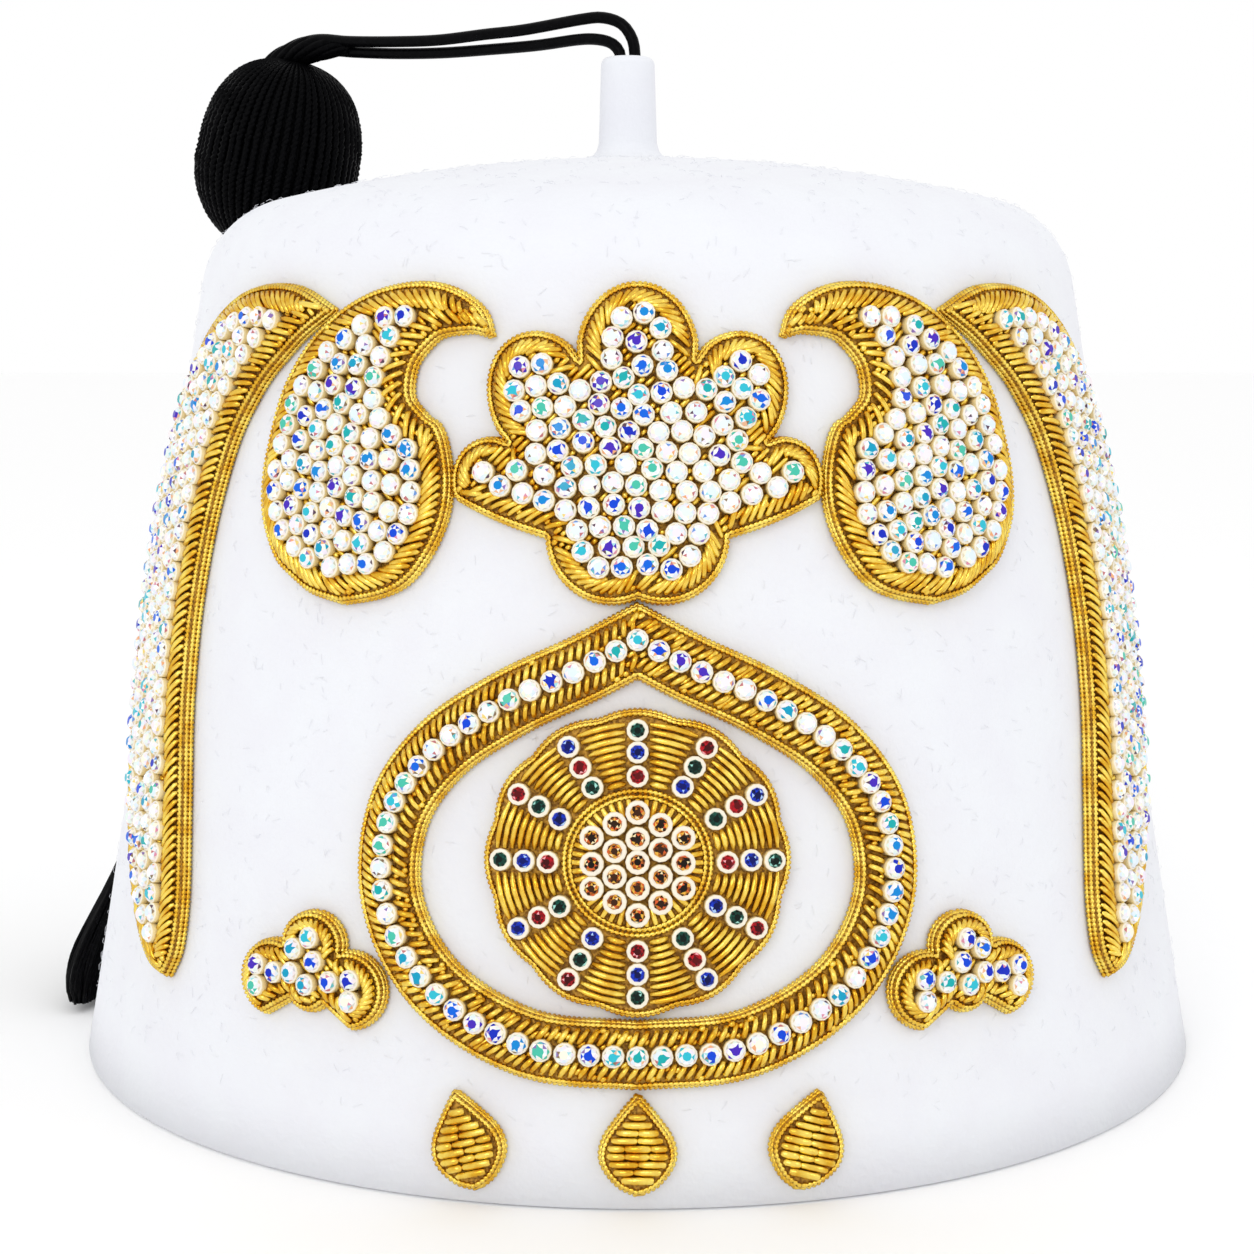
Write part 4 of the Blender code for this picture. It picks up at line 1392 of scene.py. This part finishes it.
    def pair(self, name: str, outline: Outline, azimuth: float, height: float,
             stones: list[Stone], gold: Goldwork) -> list[Motif]:
        """Lays the same motif on the left and, mirrored, on the right.

        Args:
            name: The motif's name without its side.
            outline: Its outline.
            azimuth: How far from the front it lies.
            height: How far up the side it lies.
            stones: Its stones.
            gold: Its goldwork.

        Returns:
            Both motifs.
        """
        found = []
        for side_name, side in (("left", -1), ("right", 1)):
            full = f"{name}_{side_name}"
            placement = Placement(side * azimuth, height, 0.0, side)
            found.append(Motif(full, outline, placement, gold, stone_nodes={full + "_stones": stones}))
        return found

    def palmette(self) -> Motif:
        """Draws the fan of five lobes over the front.

        Returns:
            The motif.
        """
        outline = Outline(lobed_loop(self.palmette_radius, 220))
        stones = self.field(outline, margin=0.0043, liveliness=0.62)
        gold = Goldwork(band=0.0034)
        nodes = {"palmette_stones": stones}
        return Motif("palmette", outline, Placement(0.0, self.palmette_base), gold, stone_nodes=nodes)

    def frame(self) -> Motif:
        """Draws the onion-shaped frame, with one row of stones between two bands of purl.

        Returns:
            The motif.
        """
        outline = Outline(self.frame_loop(self.frame_band / 2), self.frame_loop(-self.frame_band / 2))
        middle, _ = outline.stations(np.array(self.frame_loop(0.0)), self.frame_pitch)
        stones = [Stone(a, b, liveliness=0.72) for a, b in middle]
        gold = Goldwork(band=0.0029, slant=math.radians(34))
        return Motif("frame", outline, Placement(0.0, self.medallion_height), gold,
                     stone_nodes={"frame_stones": stones})

    def medallion(self) -> Motif:
        """Draws the round medallion: amber stones, rays of coloured stones, and laid purl between them.

        Returns:
            The motif.
        """
        outline = Outline(lobed_loop(self.medallion_radius, 160))
        placement = Placement(0.0, self.medallion_height)
        gold = Goldwork(band=0.0)
        amber = [Stone(0.0, 0.0, self.amber_stone, StoneColour.AMBER)]
        corners = [(math.sin(k * math.pi / 3), math.cos(k * math.pi / 3)) for k in range(7)]
        for ring in (1, 2):
            for (x0, y0), (x1, y1) in zip(corners, corners[1:]):
                for share in (i / ring for i in range(ring)):
                    a = (x0 + (x1 - x0) * share) * ring * self.amber_pitch
                    b = (y0 + (y1 - y0) * share) * ring * self.amber_pitch
                    amber.append(Stone(a, b, self.amber_stone, StoneColour.AMBER))
        order = (StoneColour.RED, StoneColour.BLUE, StoneColour.GREEN)
        coloured, runs = [], []
        for ray in range(self.rays):
            angle = 2 * math.pi * ray / self.rays
            for i in range(3):
                radius = self.ray_start + i * self.ray_step
                place = (radius * math.sin(angle), radius * math.cos(angle))
                coloured.append(Stone(*place, self.ray_stone, order[(ray + i) % 3]))
            runs += self.laid_rows(gold, placement, angle + math.pi / self.rays)
        for radius in self.medallion_rings:
            loop = np.array(lobed_loop(lambda _: radius, 120))
            runs.append(gold.edge(Outline(loop), loop, placement, 0.0, gold.floor + gold.edge_wire * 0.7))
        for i in range(self.collar_strokes):
            angle = 2 * math.pi * i / self.collar_strokes
            points = [self.polar(gold, placement, radius, angle, rise) for radius, rise in self.collar_rise]
            runs.append(Run(points, [gold.wire] * len(points)))
        nodes = {"medallion_amber_stones": amber, "medallion_colour_stones": coloured}
        return Motif("medallion", outline, placement, gold, stone_nodes=nodes, extra_runs=runs)

    def polar(self, gold: Goldwork, placement: Placement, radius: float, angle: float, rise: float) -> Vector:
        """A point of purl on the medallion's padding, by its radius and angle."""
        out = gold.floor + gold.wire * gold.lift + rise
        return placement.point(radius * math.sin(angle), radius * math.cos(angle), out)

    def laid_rows(self, gold: Goldwork, placement: Placement, angle: float) -> list[Run]:
        """Lays rows of purl across the gap between two rays.

        Args:
            gold: The goldwork's sizes.
            placement: Where the medallion lies.
            angle: The gap's middle, from straight up.

        Returns:
            The rows.
        """
        runs = []
        radius, last_radius = self.laid_radii
        while radius < last_radius:
            half_gap = math.pi / self.rays - math.asin(min(1.0, self.ray_half_width / radius))
            if half_gap * radius > self.least_row:
                points = [
                    self.polar(gold, placement, radius, angle + half_gap * share, rise)
                    for share, rise, _ in self.row_bends
                ]
                runs.append(Run(points, [gold.wire * fullness for _, _, fullness in self.row_bends]))
            radius += gold.row_pitch
        return runs

    def buds(self) -> list[Motif]:
        """Draws the three gold buds under the frame.

        Returns:
            The motifs.
        """
        outline = Outline(ribbon_loop(self.bud_sections, self.bud_length, self.bud_length))
        found = []
        for name, side in (("bud_left", -1), ("bud_centre", 0), ("bud_right", 1)):
            azimuth = side * self.bud_spread / SIDE.radius(self.bud_height)
            placement = Placement(azimuth, self.bud_height, -side * self.bud_lean)
            gold = Goldwork(arch=0.0003, wire=0.00052, row_pitch=0.00104, row_margin=0.0009)
            found.append(Motif(name, outline, placement, gold, ground_node=name, laid=True))
        return found


# Felt


@dataclass
class FeltCrown:
    """The moulded felt crown and its stem."""

    rim_radius: float = 0.0924
    corner_radius: float = 0.0158
    corner_r: float = 0.055485258
    corner_z: float = 0.122136857
    dome_radius: float = 0.246783842
    dome_z: float = -0.102083842
    join_angle: float = 1.32821134
    wall: float = 0.0025
    stem_offset: float = -0.0016
    stem_top: float = 0.1614
    stem_top_radius: float = 0.0044
    bore: float = 0.0025
    bore_depth: float = 0.0068
    fibres: int = 4500
    fibre_radius: float = 0.00003
    fibre_floor: float = 0.003
    fibre_reach: tuple = (0.0008, 0.0018)
    fibre_rise: tuple = (0.00010, 0.00040)
    stem_foot: float = 0.1447
    stem_edge: float = 0.0013
    stem_flare: tuple = (
        (0.0047, 0.0060), (0.0048, 0.0028), (0.0052, 0.0015), (0.0058, 0.0008), (0.0070, 0.00035),
        (0.0088, -0.0001),
    )
    arc_steps: int = 14
    side_steps: int = 12
    crown_turn: int = 168
    stem_turn: int = 48
    rim_lift: float = 0.0004

    def arc(self, centre_r: float, centre_z: float, radius: float, start: float, end: float,
            steps: int) -> list[tuple[float, float]]:
        """Finds points on an arc, both ends included.

        Args:
            centre_r: The centre's distance from the axis.
            centre_z: The centre's height.
            radius: The arc's radius.
            start: The angle at which it starts.
            end: The angle at which it ends.
            steps: How many steps it takes.

        Returns:
            Points (r, z).
        """
        angles = [start + (end - start) * i / steps for i in range(steps + 1)]
        return [(centre_r + radius * math.cos(a), centre_z + radius * math.sin(a)) for a in angles]

    def profile(self, inset: float) -> list[tuple[float, float]]:
        """Draws the crown's profile from its top centre to its rim.

        Args:
            inset: How far it is moved inwards.

        Returns:
            Points (r, z).
        """
        steps, side_steps = self.arc_steps, self.side_steps
        dome = self.arc(0.0, self.dome_z, self.dome_radius - inset, math.pi / 2, self.join_angle, steps)
        dome[0] = (0.0, dome[0][1])
        corner = self.arc(
            self.corner_r, self.corner_z, self.corner_radius - inset, self.join_angle, SIDE.angle, steps
        )
        rim = self.rim_radius - inset / math.cos(SIDE.angle)
        top_r, top_z = corner[-1]
        side = [
            (top_r + (rim - top_r) * i / side_steps, top_z * (1 - i / side_steps))
            for i in range(1, side_steps)
        ]
        return dome + corner[1:] + side + [(rim, self.rim_lift if inset == 0.0 else 0.0)]

    def build(self) -> None:
        """Builds the crown and the stem in place of their coarser solids."""
        loop = self.profile(0.0) + self.profile(self.wall)[::-1]
        felt = spun_mesh("felt_crown", loop, self.crown_turn)
        crown = add_piece("felt_crown", felt, [WOOL_FELT], "white_felt")
        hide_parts("crown")
        add_piece("felt_fuzz", self.fuzz_mesh(), [WOOL_FELT], "white_felt")
        stem = add_piece("felt_stem", self.stem_mesh(), [WOOL_FELT], "white_felt")
        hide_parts("stem")

    def fuzz_mesh(self) -> bpy.types.Mesh:
        """Scatters short fibres evenly over the felt, so that its outline looks soft.

        Returns:
            One mesh of all the fibres.
        """
        chance = random.Random("fuzz")
        profile = [(r, z) for r, z in self.profile(0.0) if z > self.fibre_floor]
        pieces = list(zip(profile, profile[1:]))
        areas = [math.dist(a, b) * (a[0] + b[0]) for a, b in pieces]
        runs = []
        for (upper, lower) in chance.choices(pieces, areas, k=self.fibres):
            share, azimuth = chance.random(), chance.uniform(0.0, 2 * math.pi)
            r, z = (u + (v - u) * share for u, v in zip(upper, lower))
            down = Vector((lower[0] - upper[0], 0.0, lower[1] - upper[1])).normalized()
            out = Vector((-down.z, 0.0, down.x))
            heading = chance.uniform(0.0, 2 * math.pi)
            along = down * math.cos(heading) + Vector((0.0, 1.0, 0.0)) * math.sin(heading)
            reach, rise = chance.uniform(*self.fibre_reach), chance.uniform(*self.fibre_rise)
            steps = ((0.0, -0.3), (0.5, 1.0), (1.0, 0.7))
            place = Matrix.Rotation(azimuth, 4, "Z")
            points = [place @ (Vector((r, 0.0, z)) + along * reach * a + out * rise * b) for a, b in steps]
            runs.append(Run(points, [self.fibre_radius] * 3))
        return run_mesh("felt_fuzz", runs, 0)

    def stem_mesh(self) -> bpy.types.Mesh:
        """Makes the stem: a foot that flares into the dome, a rounded top and a bore for the cords.

        Returns:
            The stem's mesh.
        """
        top, foot, edge_radius = self.stem_top, self.stem_foot, self.stem_edge
        bored = [(0.0, top - self.bore_depth), (self.bore, top - self.bore_depth), (self.bore, top - 0.0002)]
        inner = self.stem_top_radius - edge_radius
        edge = self.arc(inner, top - edge_radius, edge_radius, math.pi / 2, 0.0, 8)
        flare = [(radius, foot + rise) for radius, rise in self.stem_flare]
        under = [(self.stem_flare[-1][0], foot - 0.0004), (0.0, foot - 0.0002)]
        mesh = spun_mesh("felt_stem", bored + edge + flare + under, self.stem_turn)
        mesh.transform(Matrix.Translation((self.stem_offset, 0.0, 0.0)))
        return mesh


# Cords and tassel


@dataclass
class Cord:
    """One satin cord from inside the stem to the top of the tassel."""

    name: str
    node: str
    route: tuple
    diameter: float = 0.0019
    crown_top: float = 0.1447
    spots: int = 72

    def points(self) -> list[Vector]:
        """Spaces points evenly along the cord's smooth route.

        Returns:
            The points.
        """
        fine = [Vector(p) * MM + Vector((0.0, 0.0, self.crown_top)) for p in catmull(list(self.route), 16)]
        lengths = np.concatenate([[0.0], np.cumsum([(b - a).length for a, b in zip(fine, fine[1:])])])
        wanted = np.linspace(0.0, lengths[-1], self.spots)
        table = np.array([tuple(p) for p in fine])
        even = np.stack([np.interp(wanted, lengths, table[:, k]) for k in range(3)], axis=1)
        return [Vector(row) for row in even]

    def build(self) -> None:
        """Makes the cord as a curve of one open spline, and logs its name and length."""
        points = self.points()
        curve = tube_curve(self.name, [Run(points, [1.0] * len(points))], self.diameter / 2, 5)
        length = sum((b - a).length for a, b in zip(points, points[1:]))
        cord = add_piece(self.name, curve, [SATIN_CORD], "black_silk")
        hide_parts(self.node)
        tuple(points[0])
        LOG.info("%s: %.0f mm long", self.name, length * 1000)


UPPER_CORD = Cord(
    "satin_cord_upper",
    "tassel_cord_upper",
    (
        (-0.45, 0.0, 10.5), (-0.45, 0.0, 13.8), (-0.45, 0.0, 17.1), (-0.9, 0.1, 19.7), (-2.6, 0.6, 22.1),
        (-5.6, 2.0, 23.3), (-9.2, 3.9, 23.3), (-18.9, 9.4, 22.3), (-25.9, 13.2, 22.0), (-34.3, 17.8, 21.6),
        (-42.6, 22.5, 21.9), (-50.8, 27.0, 22.5), (-55.6, 29.9, 23.2), (-58.9, 32.1, 22.9),
        (-60.7, 33.4, 21.2),
    ),
)
LOWER_CORD = Cord(
    "satin_cord_lower",
    "tassel_cord_lower",
    (
        (-2.75, 0.0, 10.5), (-2.75, 0.0, 13.8), (-2.8, 0.0, 16.6), (-3.2, 0.3, 18.0), (-4.5, 1.1, 19.2),
        (-6.8, 2.6, 19.9), (-10.0, 4.8, 20.1), (-17.0, 9.3, 19.7), (-25.5, 14.4, 19.6), (-33.7, 19.0, 19.6),
        (-41.9, 23.6, 20.0), (-49.5, 27.9, 20.7), (-54.0, 30.5, 21.2), (-57.2, 32.3, 20.4),
    ),
)


@dataclass
class Tassel:
    """The tassel: a head of twisted strands, its binding, and a skirt of loose strands."""

    azimuth: float = math.radians(-119.0)
    lean: float = math.radians(15.0)
    centre: tuple = (-0.0644543, 0.0357276, 0.1486309)
    radius: float = 0.0146
    sag: float = 0.0026
    top_length: float = 0.0188
    low_length: float = 0.0175
    top_fullness: float = 0.82
    top_flat: float = 0.0028
    neck: float = 0.0048
    core_share: float = 0.93
    ribs: int = 54
    rib_stray: float = 0.12
    twist: float = 0.0021
    ply_swing: float = 0.36
    ply_inset: float = 0.75
    ply_sway: float = 0.40
    ply_width: float = 0.66
    ply_least: float = 0.00022
    gathers: int = 9
    gather_core: float = 0.8
    gather_turn: float = 0.09
    gather_reach: float = 0.66
    gather_strand: float = 0.36
    binding_radius: float = 0.0013
    binding_turns: int = 5
    binding_thread: float = 0.00030
    binding_gap: float = 0.0003
    binding_steps: int = 40
    binding_core: tuple = (0.0012, 0.9, 0.5)
    gathered: tuple = (
        (-50.6, 27.9, 166.5, 1.5), (-53.6, 29.7, 166.7, 2.0), (-56.6, 31.4, 166.6, 2.35),
        (-59.4, 32.9, 166.2, 2.45), (-61.8, 34.2, 165.4, 2.4), (-63.6, 35.2, 164.6, 2.5),
        (-65.0, 35.9, 162.9, 3.0), (-65.4, 36.1, 160.6, 3.4),
    )
    skirt_azimuth: float = math.radians(-98.0)
    skirt_width: float = 0.0320
    skirt_thickness: float = 0.0096
    skirt_top: float = 0.0032
    skirt_gap: float = 0.0006
    skirt_ease: float = 0.20
    floor_gap: float = 0.0012
    skirt_swing: float = 3.0
    skirt_core: tuple = (0.90, 0.88)
    skirt_strands: int = 190
    strand_stray: float = 0.3
    strand_radius: float = 0.00042
    strand_tip: float = 0.00025
    strand_reach: float = 0.955
    strand_wave: float = 0.02
    wave_steps: tuple = (0.35, 0.5)
    strand_ends: tuple = (0, 0, 1, 1, 2, 3)
    locks: float = 6.5
    lock_depth: float = 0.05
    sections: tuple = (
        (0.30, 0.00, 0.52), (0.40, 0.06, 0.60), (0.50, 0.16, 0.56),
        (0.56, 0.32, 0.46), (0.60, 0.52, 0.40), (0.70, 0.72, 0.44),
        (0.86, 0.85, 0.62), (1.02, 0.935, 0.88), (1.06, 0.975, 0.82),
        (1.02, 1.000, 0.62),
    )

    def axis(self) -> Vector:
        """Unit vector up the head's own axis."""
        inward = Vector((-math.sin(self.azimuth), math.cos(self.azimuth), 0.0))
        return inward * math.sin(self.lean) + Vector((0.0, 0.0, math.cos(self.lean)))

    def head_matrix(self, along: float) -> Matrix:
        """Makes a frame on the head's axis.

        Args:
            along: How far up the axis it is from the head's widest point.

        Returns:
            The frame, with Z up the axis.
        """
        axis = self.axis()
        turn = axis.to_track_quat("Z", "Y").to_matrix().to_4x4()
        return Matrix.Translation(Vector(self.centre) + axis * along) @ turn

    def head_profile(self, scale: float, steps: int) -> list[tuple[float, float]]:
        """Draws the head's outside from its top to its neck.

        Args:
            scale: What the radius is multiplied by.
            steps: Steps in each half.

        Returns:
            Points (r, z).
        """
        found = []
        halves = (
            (self.top_length, self.top_flat, 1, self.top_fullness),
            (self.low_length - self.sag, self.neck, -1, 1.0),
        )
        for length, least, sign, power in halves:
            end = math.asin((least / self.radius) ** (1 / power))
            angles = [math.pi / 2 + (end - math.pi / 2) * i / steps for i in range(steps + 1)]
            half = []
            for angle in angles:
                rise = length * (max(math.cos(angle), 0.0) / math.cos(end)) ** power
                half.append((self.radius * math.sin(angle) ** power * scale, sign * rise - self.sag))
            found += half[::-1] if sign > 0 else half[1:]
        return found

    def build_head(self) -> None:
        """Builds the head: a core, and pairs of plies twisted round each other over it."""
        profile = self.head_profile(self.core_share, 12)
        core = [(0.0, profile[0][1])] + profile + [(0.0, profile[-1][1])]
        mesh = spun_mesh("tassel_head_core", core, 48)
        place = self.head_matrix(0.0)
        mesh.transform(place)
        piece = add_piece("tassel_head_core", mesh, [SILK_YARN], "black_silk")
        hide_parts("tassel_head")
        fine = catmull(self.head_profile(1.0, 10), 4)
        runs = []
        chance = random.Random("head")
        for rib in range(self.ribs):
            stray = chance.uniform(-self.rib_stray, self.rib_stray)
            azimuth = 2 * math.pi * (rib + stray) / self.ribs
            phase = chance.uniform(0.0, 2 * math.pi)
            for ply in (0.0, math.pi):
                points, radii, run = [], [], 0.0
                for i, (r, z) in enumerate(fine):
                    before = fine[max(i - 1, 0)]
                    run += math.hypot(r - before[0], z - before[1])
                    width = math.pi * r / self.ribs
                    turn = phase + ply + run / self.twist * 2 * math.pi
                    off = width * self.ply_swing * math.sin(turn) - width * self.ply_inset
                    sway = width * self.ply_sway * math.cos(turn) / max(r, 0.001)
                    reach = r + off
                    spot = Vector((reach * math.cos(azimuth + sway), reach * math.sin(azimuth + sway), z))
                    points.append(place @ spot)
                    radii.append(max(width * self.ply_width, self.ply_least))
                runs.append(Run(points, radii))
        mesh = run_mesh("tassel_head_strands", runs, 1)
        add_piece("tassel_head_strands", mesh, [SILK_YARN], "black_silk")

    def build_gather(self) -> None:
        """Gathers the cords' ends in a bundle of twisted strands that sinks into the head's top."""
        rows = [Vector(row) * MM for row in catmull(list(self.gathered), 6)]
        spine = [row.to_3d() for row in rows]
        runs = [Run(spine, [row[3] * self.gather_core for row in rows])]
        for strand in range(self.gathers):
            points, radii = [], []
            for i, (place, row) in enumerate(zip(spine, rows)):
                along = (spine[min(i + 1, len(spine) - 1)] - spine[max(i - 1, 0)]).normalized()
                side = along.cross(Vector((0.0, 0.0, 1.0))).normalized()
                turn = 2 * math.pi * strand / self.gathers + i * self.gather_turn
                outward = side * math.cos(turn) + side.cross(along) * math.sin(turn)
                points.append(place + outward * row[3] * self.gather_reach)
                radii.append(row[3] * self.gather_strand)
            runs.append(Run(points, radii))
        add_piece("tassel_gather", run_mesh("tassel_gather", runs, 2), [SILK_YARN], "black_silk")

    def build_binding(self) -> None:
        """Winds thread round the neck under the head."""
        wire, turns, thread = self.binding_radius, self.binding_turns, self.binding_thread
        place = self.head_matrix(-(self.low_length + wire + self.binding_gap))
        points = []
        steps = self.binding_steps * turns
        for i in range(steps + 1):
            angle = 2 * math.pi * turns * i / steps
            z = (wire - thread) * (1 - 2 * i / steps)
            bulge = math.sqrt(max(0.0, wire**2 - z**2))
            reach = self.neck + bulge
            points.append(place @ Vector((reach * math.cos(angle), reach * math.sin(angle), z)))
        mesh = run_mesh("tassel_binding_thread", [Run(points, [thread] * len(points))], 2)
        spare, fullness, shoulder = self.binding_core
        end, bulge = wire + spare, self.neck + wire * fullness
        upper = [(0.0, end), (self.neck, end), (bulge, wire * shoulder)]
        core = spun_mesh("neck", upper + [(r, -z) for r, z in upper[::-1]], 32)
        core.transform(place)
        joined = bmesh.new()
        joined.from_mesh(mesh)
        joined.from_mesh(core)
        joined.to_mesh(mesh)
        joined.free()
        piece = add_piece("tassel_binding_thread", mesh, [SILK_YARN], "black_silk")
        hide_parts("tassel_binding")

    def skirt_frames(self) -> list[tuple]:
        """Follows the skirt from the neck to its end.

        Returns:
            Rows of a centre, a direction across and one outwards, half the width and half the thickness.
        """
        neck = Vector(self.centre) - self.axis() * (self.low_length + self.skirt_top)
        neck_height = neck.z / math.cos(SIDE.angle)
        drop = neck_height - self.floor_gap
        frames = []
        for width, down, thickness in catmull(list(self.sections), 4):
            swung = max(down, 0.0) ** self.skirt_swing
            azimuth = self.azimuth + (self.skirt_azimuth - self.azimuth) * swung
            half_thick = thickness * self.skirt_thickness / 2
            lying = SIDE.point(azimuth, neck_height - down * drop, half_thick + self.skirt_gap)
            share = max(0.0, 1.0 - down / self.skirt_ease)
            ease = share * share * (3 - 2 * share)
            centre = lying.lerp(neck - self.axis() * (down * drop), ease)
            across = Vector((math.cos(azimuth), math.sin(azimuth), 0.0))
            frames.append((centre, across, SIDE.normal(azimuth), width * self.skirt_width / 2, half_thick))
        return frames

    def build_skirt(self) -> None:
        """Builds the skirt: a dark core, and loose strands over it from the neck to the end."""
        frames = self.skirt_frames()
        bm = bmesh.new()
        rings = []
        for centre, across, outward, half_width, half_thick in frames:
            made = bmesh.ops.create_circle(bm, segments=40, radius=1.0)["verts"]
            wide = across * half_width * self.skirt_core[0]
            deep = outward * half_thick * self.skirt_core[1]
            turn = Matrix((wide, deep, across.cross(outward))).transposed()
            bmesh.ops.transform(bm, matrix=Matrix.Translation(centre) @ turn.to_4x4(), verts=made)
            rings.append(ring_edges(made))
        bridged(bm, rings)
        bmesh.ops.holes_fill(bm, edges=rings[0] + rings[-1], sides=0)
        bmesh.ops.recalc_face_normals(bm, faces=bm.faces)
        for face in bm.faces:
            face.smooth = True
        mesh = finished(bm, "tassel_skirt_core")
        piece = add_piece("tassel_skirt_core", mesh, [SILK_YARN], "black_silk")
        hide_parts("tassel_skirt")
        chance = random.Random("skirt")
        drift_step, wave_step = self.wave_steps
        runs = []
        for strand in range(self.skirt_strands):
            stray = chance.uniform(-self.strand_stray, self.strand_stray)
            angle = 2 * math.pi * (strand + stray) / self.skirt_strands
            lock = 1.0 - self.lock_depth * abs(math.sin(angle * self.locks))
            drift, phase = chance.gauss(0.0, self.strand_wave), chance.uniform(0.0, 6.28)
            last = len(frames) - chance.choice(self.strand_ends)
            points, radii = [], []
            for i, (centre, across, outward, half_width, half_thick) in enumerate(frames[:last]):
                turn = angle + drift * math.sin(i * drift_step + phase)
                reach = lock * (self.strand_reach + self.strand_wave * math.sin(i * wave_step + phase))
                points.append(centre + across * (math.cos(turn) * half_width * reach)
                              + outward * (math.sin(turn) * half_thick * reach))
                radii.append(self.strand_radius)
            radii[-1] = self.strand_tip
            runs.append(Run(points, radii))
        mesh = run_mesh("tassel_skirt_strands", runs, 1)
        add_piece(mesh.name, mesh, [SILK_STRANDS], "black_silk")

    def build(self) -> None:
        """Builds the tassel from its top down."""
        self.build_head()
        self.build_gather()
        self.build_binding()
        self.build_skirt()


# Studio


@dataclass
class Studio:
    """Camera, soft light, pale floor and backdrop."""

    camera_place: tuple = (0.0, -0.392, 0.117)
    camera_pitch: float = math.radians(90.0 - 7.26)
    lens: float = 2333 / 1254 * 36
    shift: float = -10.6 / 1254
    softboxes: tuple = (("key", (-0.3, -1.0, 0.6), 0.40, 2.1), ("fill", (0.8, -0.5, 0.5), 0.25, 0.4))

    def add_camera(self) -> None:
        """Places the camera at the photograph's angle."""
        data = bpy.data.cameras.new("camera")
        data.lens = self.lens
        data.sensor_width = 36.0
        data.shift_x = self.shift
        data.clip_start = 0.01
        camera = linked("camera", data)
        camera.location = self.camera_place
        camera.rotation_euler = (self.camera_pitch, 0.0, 0.0)
        bpy.context.scene.camera = camera

    def add_softbox(self, name: str, place: tuple, size: float, power: float) -> None:
        """Adds a square soft light that faces the fez.

        Args:
            name: The light's name.
            place: Where it stands.
            size: The length of its side.
            power: Its power in watts.
        """
        data = bpy.data.lights.new(name, "AREA")
        data.size = size
        data.energy = power
        light = linked(name, data)
        light.location = place
        aim = Vector((0.0, 0.0, 0.08)) - Vector(place)
        light.rotation_euler = aim.to_track_quat("-Z", "Y").to_euler()

    def build(self) -> None:
        """Adds the floor, the light all round and the softboxes."""
        bm = bmesh.new()
        bmesh.ops.create_grid(bm, x_segments=1, y_segments=1, size=6.0)
        mesh = finished(bm, "floor")
        floor = linked("floor", mesh)
        material, _, _ = start_material("studio_paper", {"Base Color": linear("FDFDFD"), "Roughness": 0.9})
        mesh.materials.append(material)
        floor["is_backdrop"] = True
        world = bpy.data.worlds.new("studio")
        world.use_nodes = True
        world.node_tree.nodes["Background"].inputs["Color"].default_value = (1.0, 1.0, 1.0, 1.0)
        world.node_tree.nodes["Background"].inputs["Strength"].default_value = 1.0
        bpy.context.scene.world = world
        for softbox in self.softboxes:
            self.add_softbox(*softbox)
        bpy.context.scene.view_settings.view_transform = "Standard"


def write_size() -> None:
    """Works out the CAD model's box and the visual model's box."""
    boxes = {name: [list(map(float, corner)) for corner in box]
             for name, box in (("cad", CAD_BOX), ("visual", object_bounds()))}


def main() -> None:
    """Builds every sub-assembly in order and reports each one."""
    logging.basicConfig(level=logging.INFO, format="%(message)s")
    studio = Studio()
    studio.add_camera()
    UPPER_CORD.build()
    LOWER_CORD.build()
    FeltCrown().build()
    LOG.info("felt crown and stem")
    book = MotifBook()
    motifs = book.leaves() + book.botehs() + [book.palmette(), book.frame(), book.medallion()]
    motifs += book.sprigs() + book.buds()
    for motif in motifs:
        motif.build()
        LOG.info("%s laid", motif.name)
    Tassel().build()
    LOG.info("tassel")
    studio.build()
    write_size()


if __name__ == "__main__":
    main()
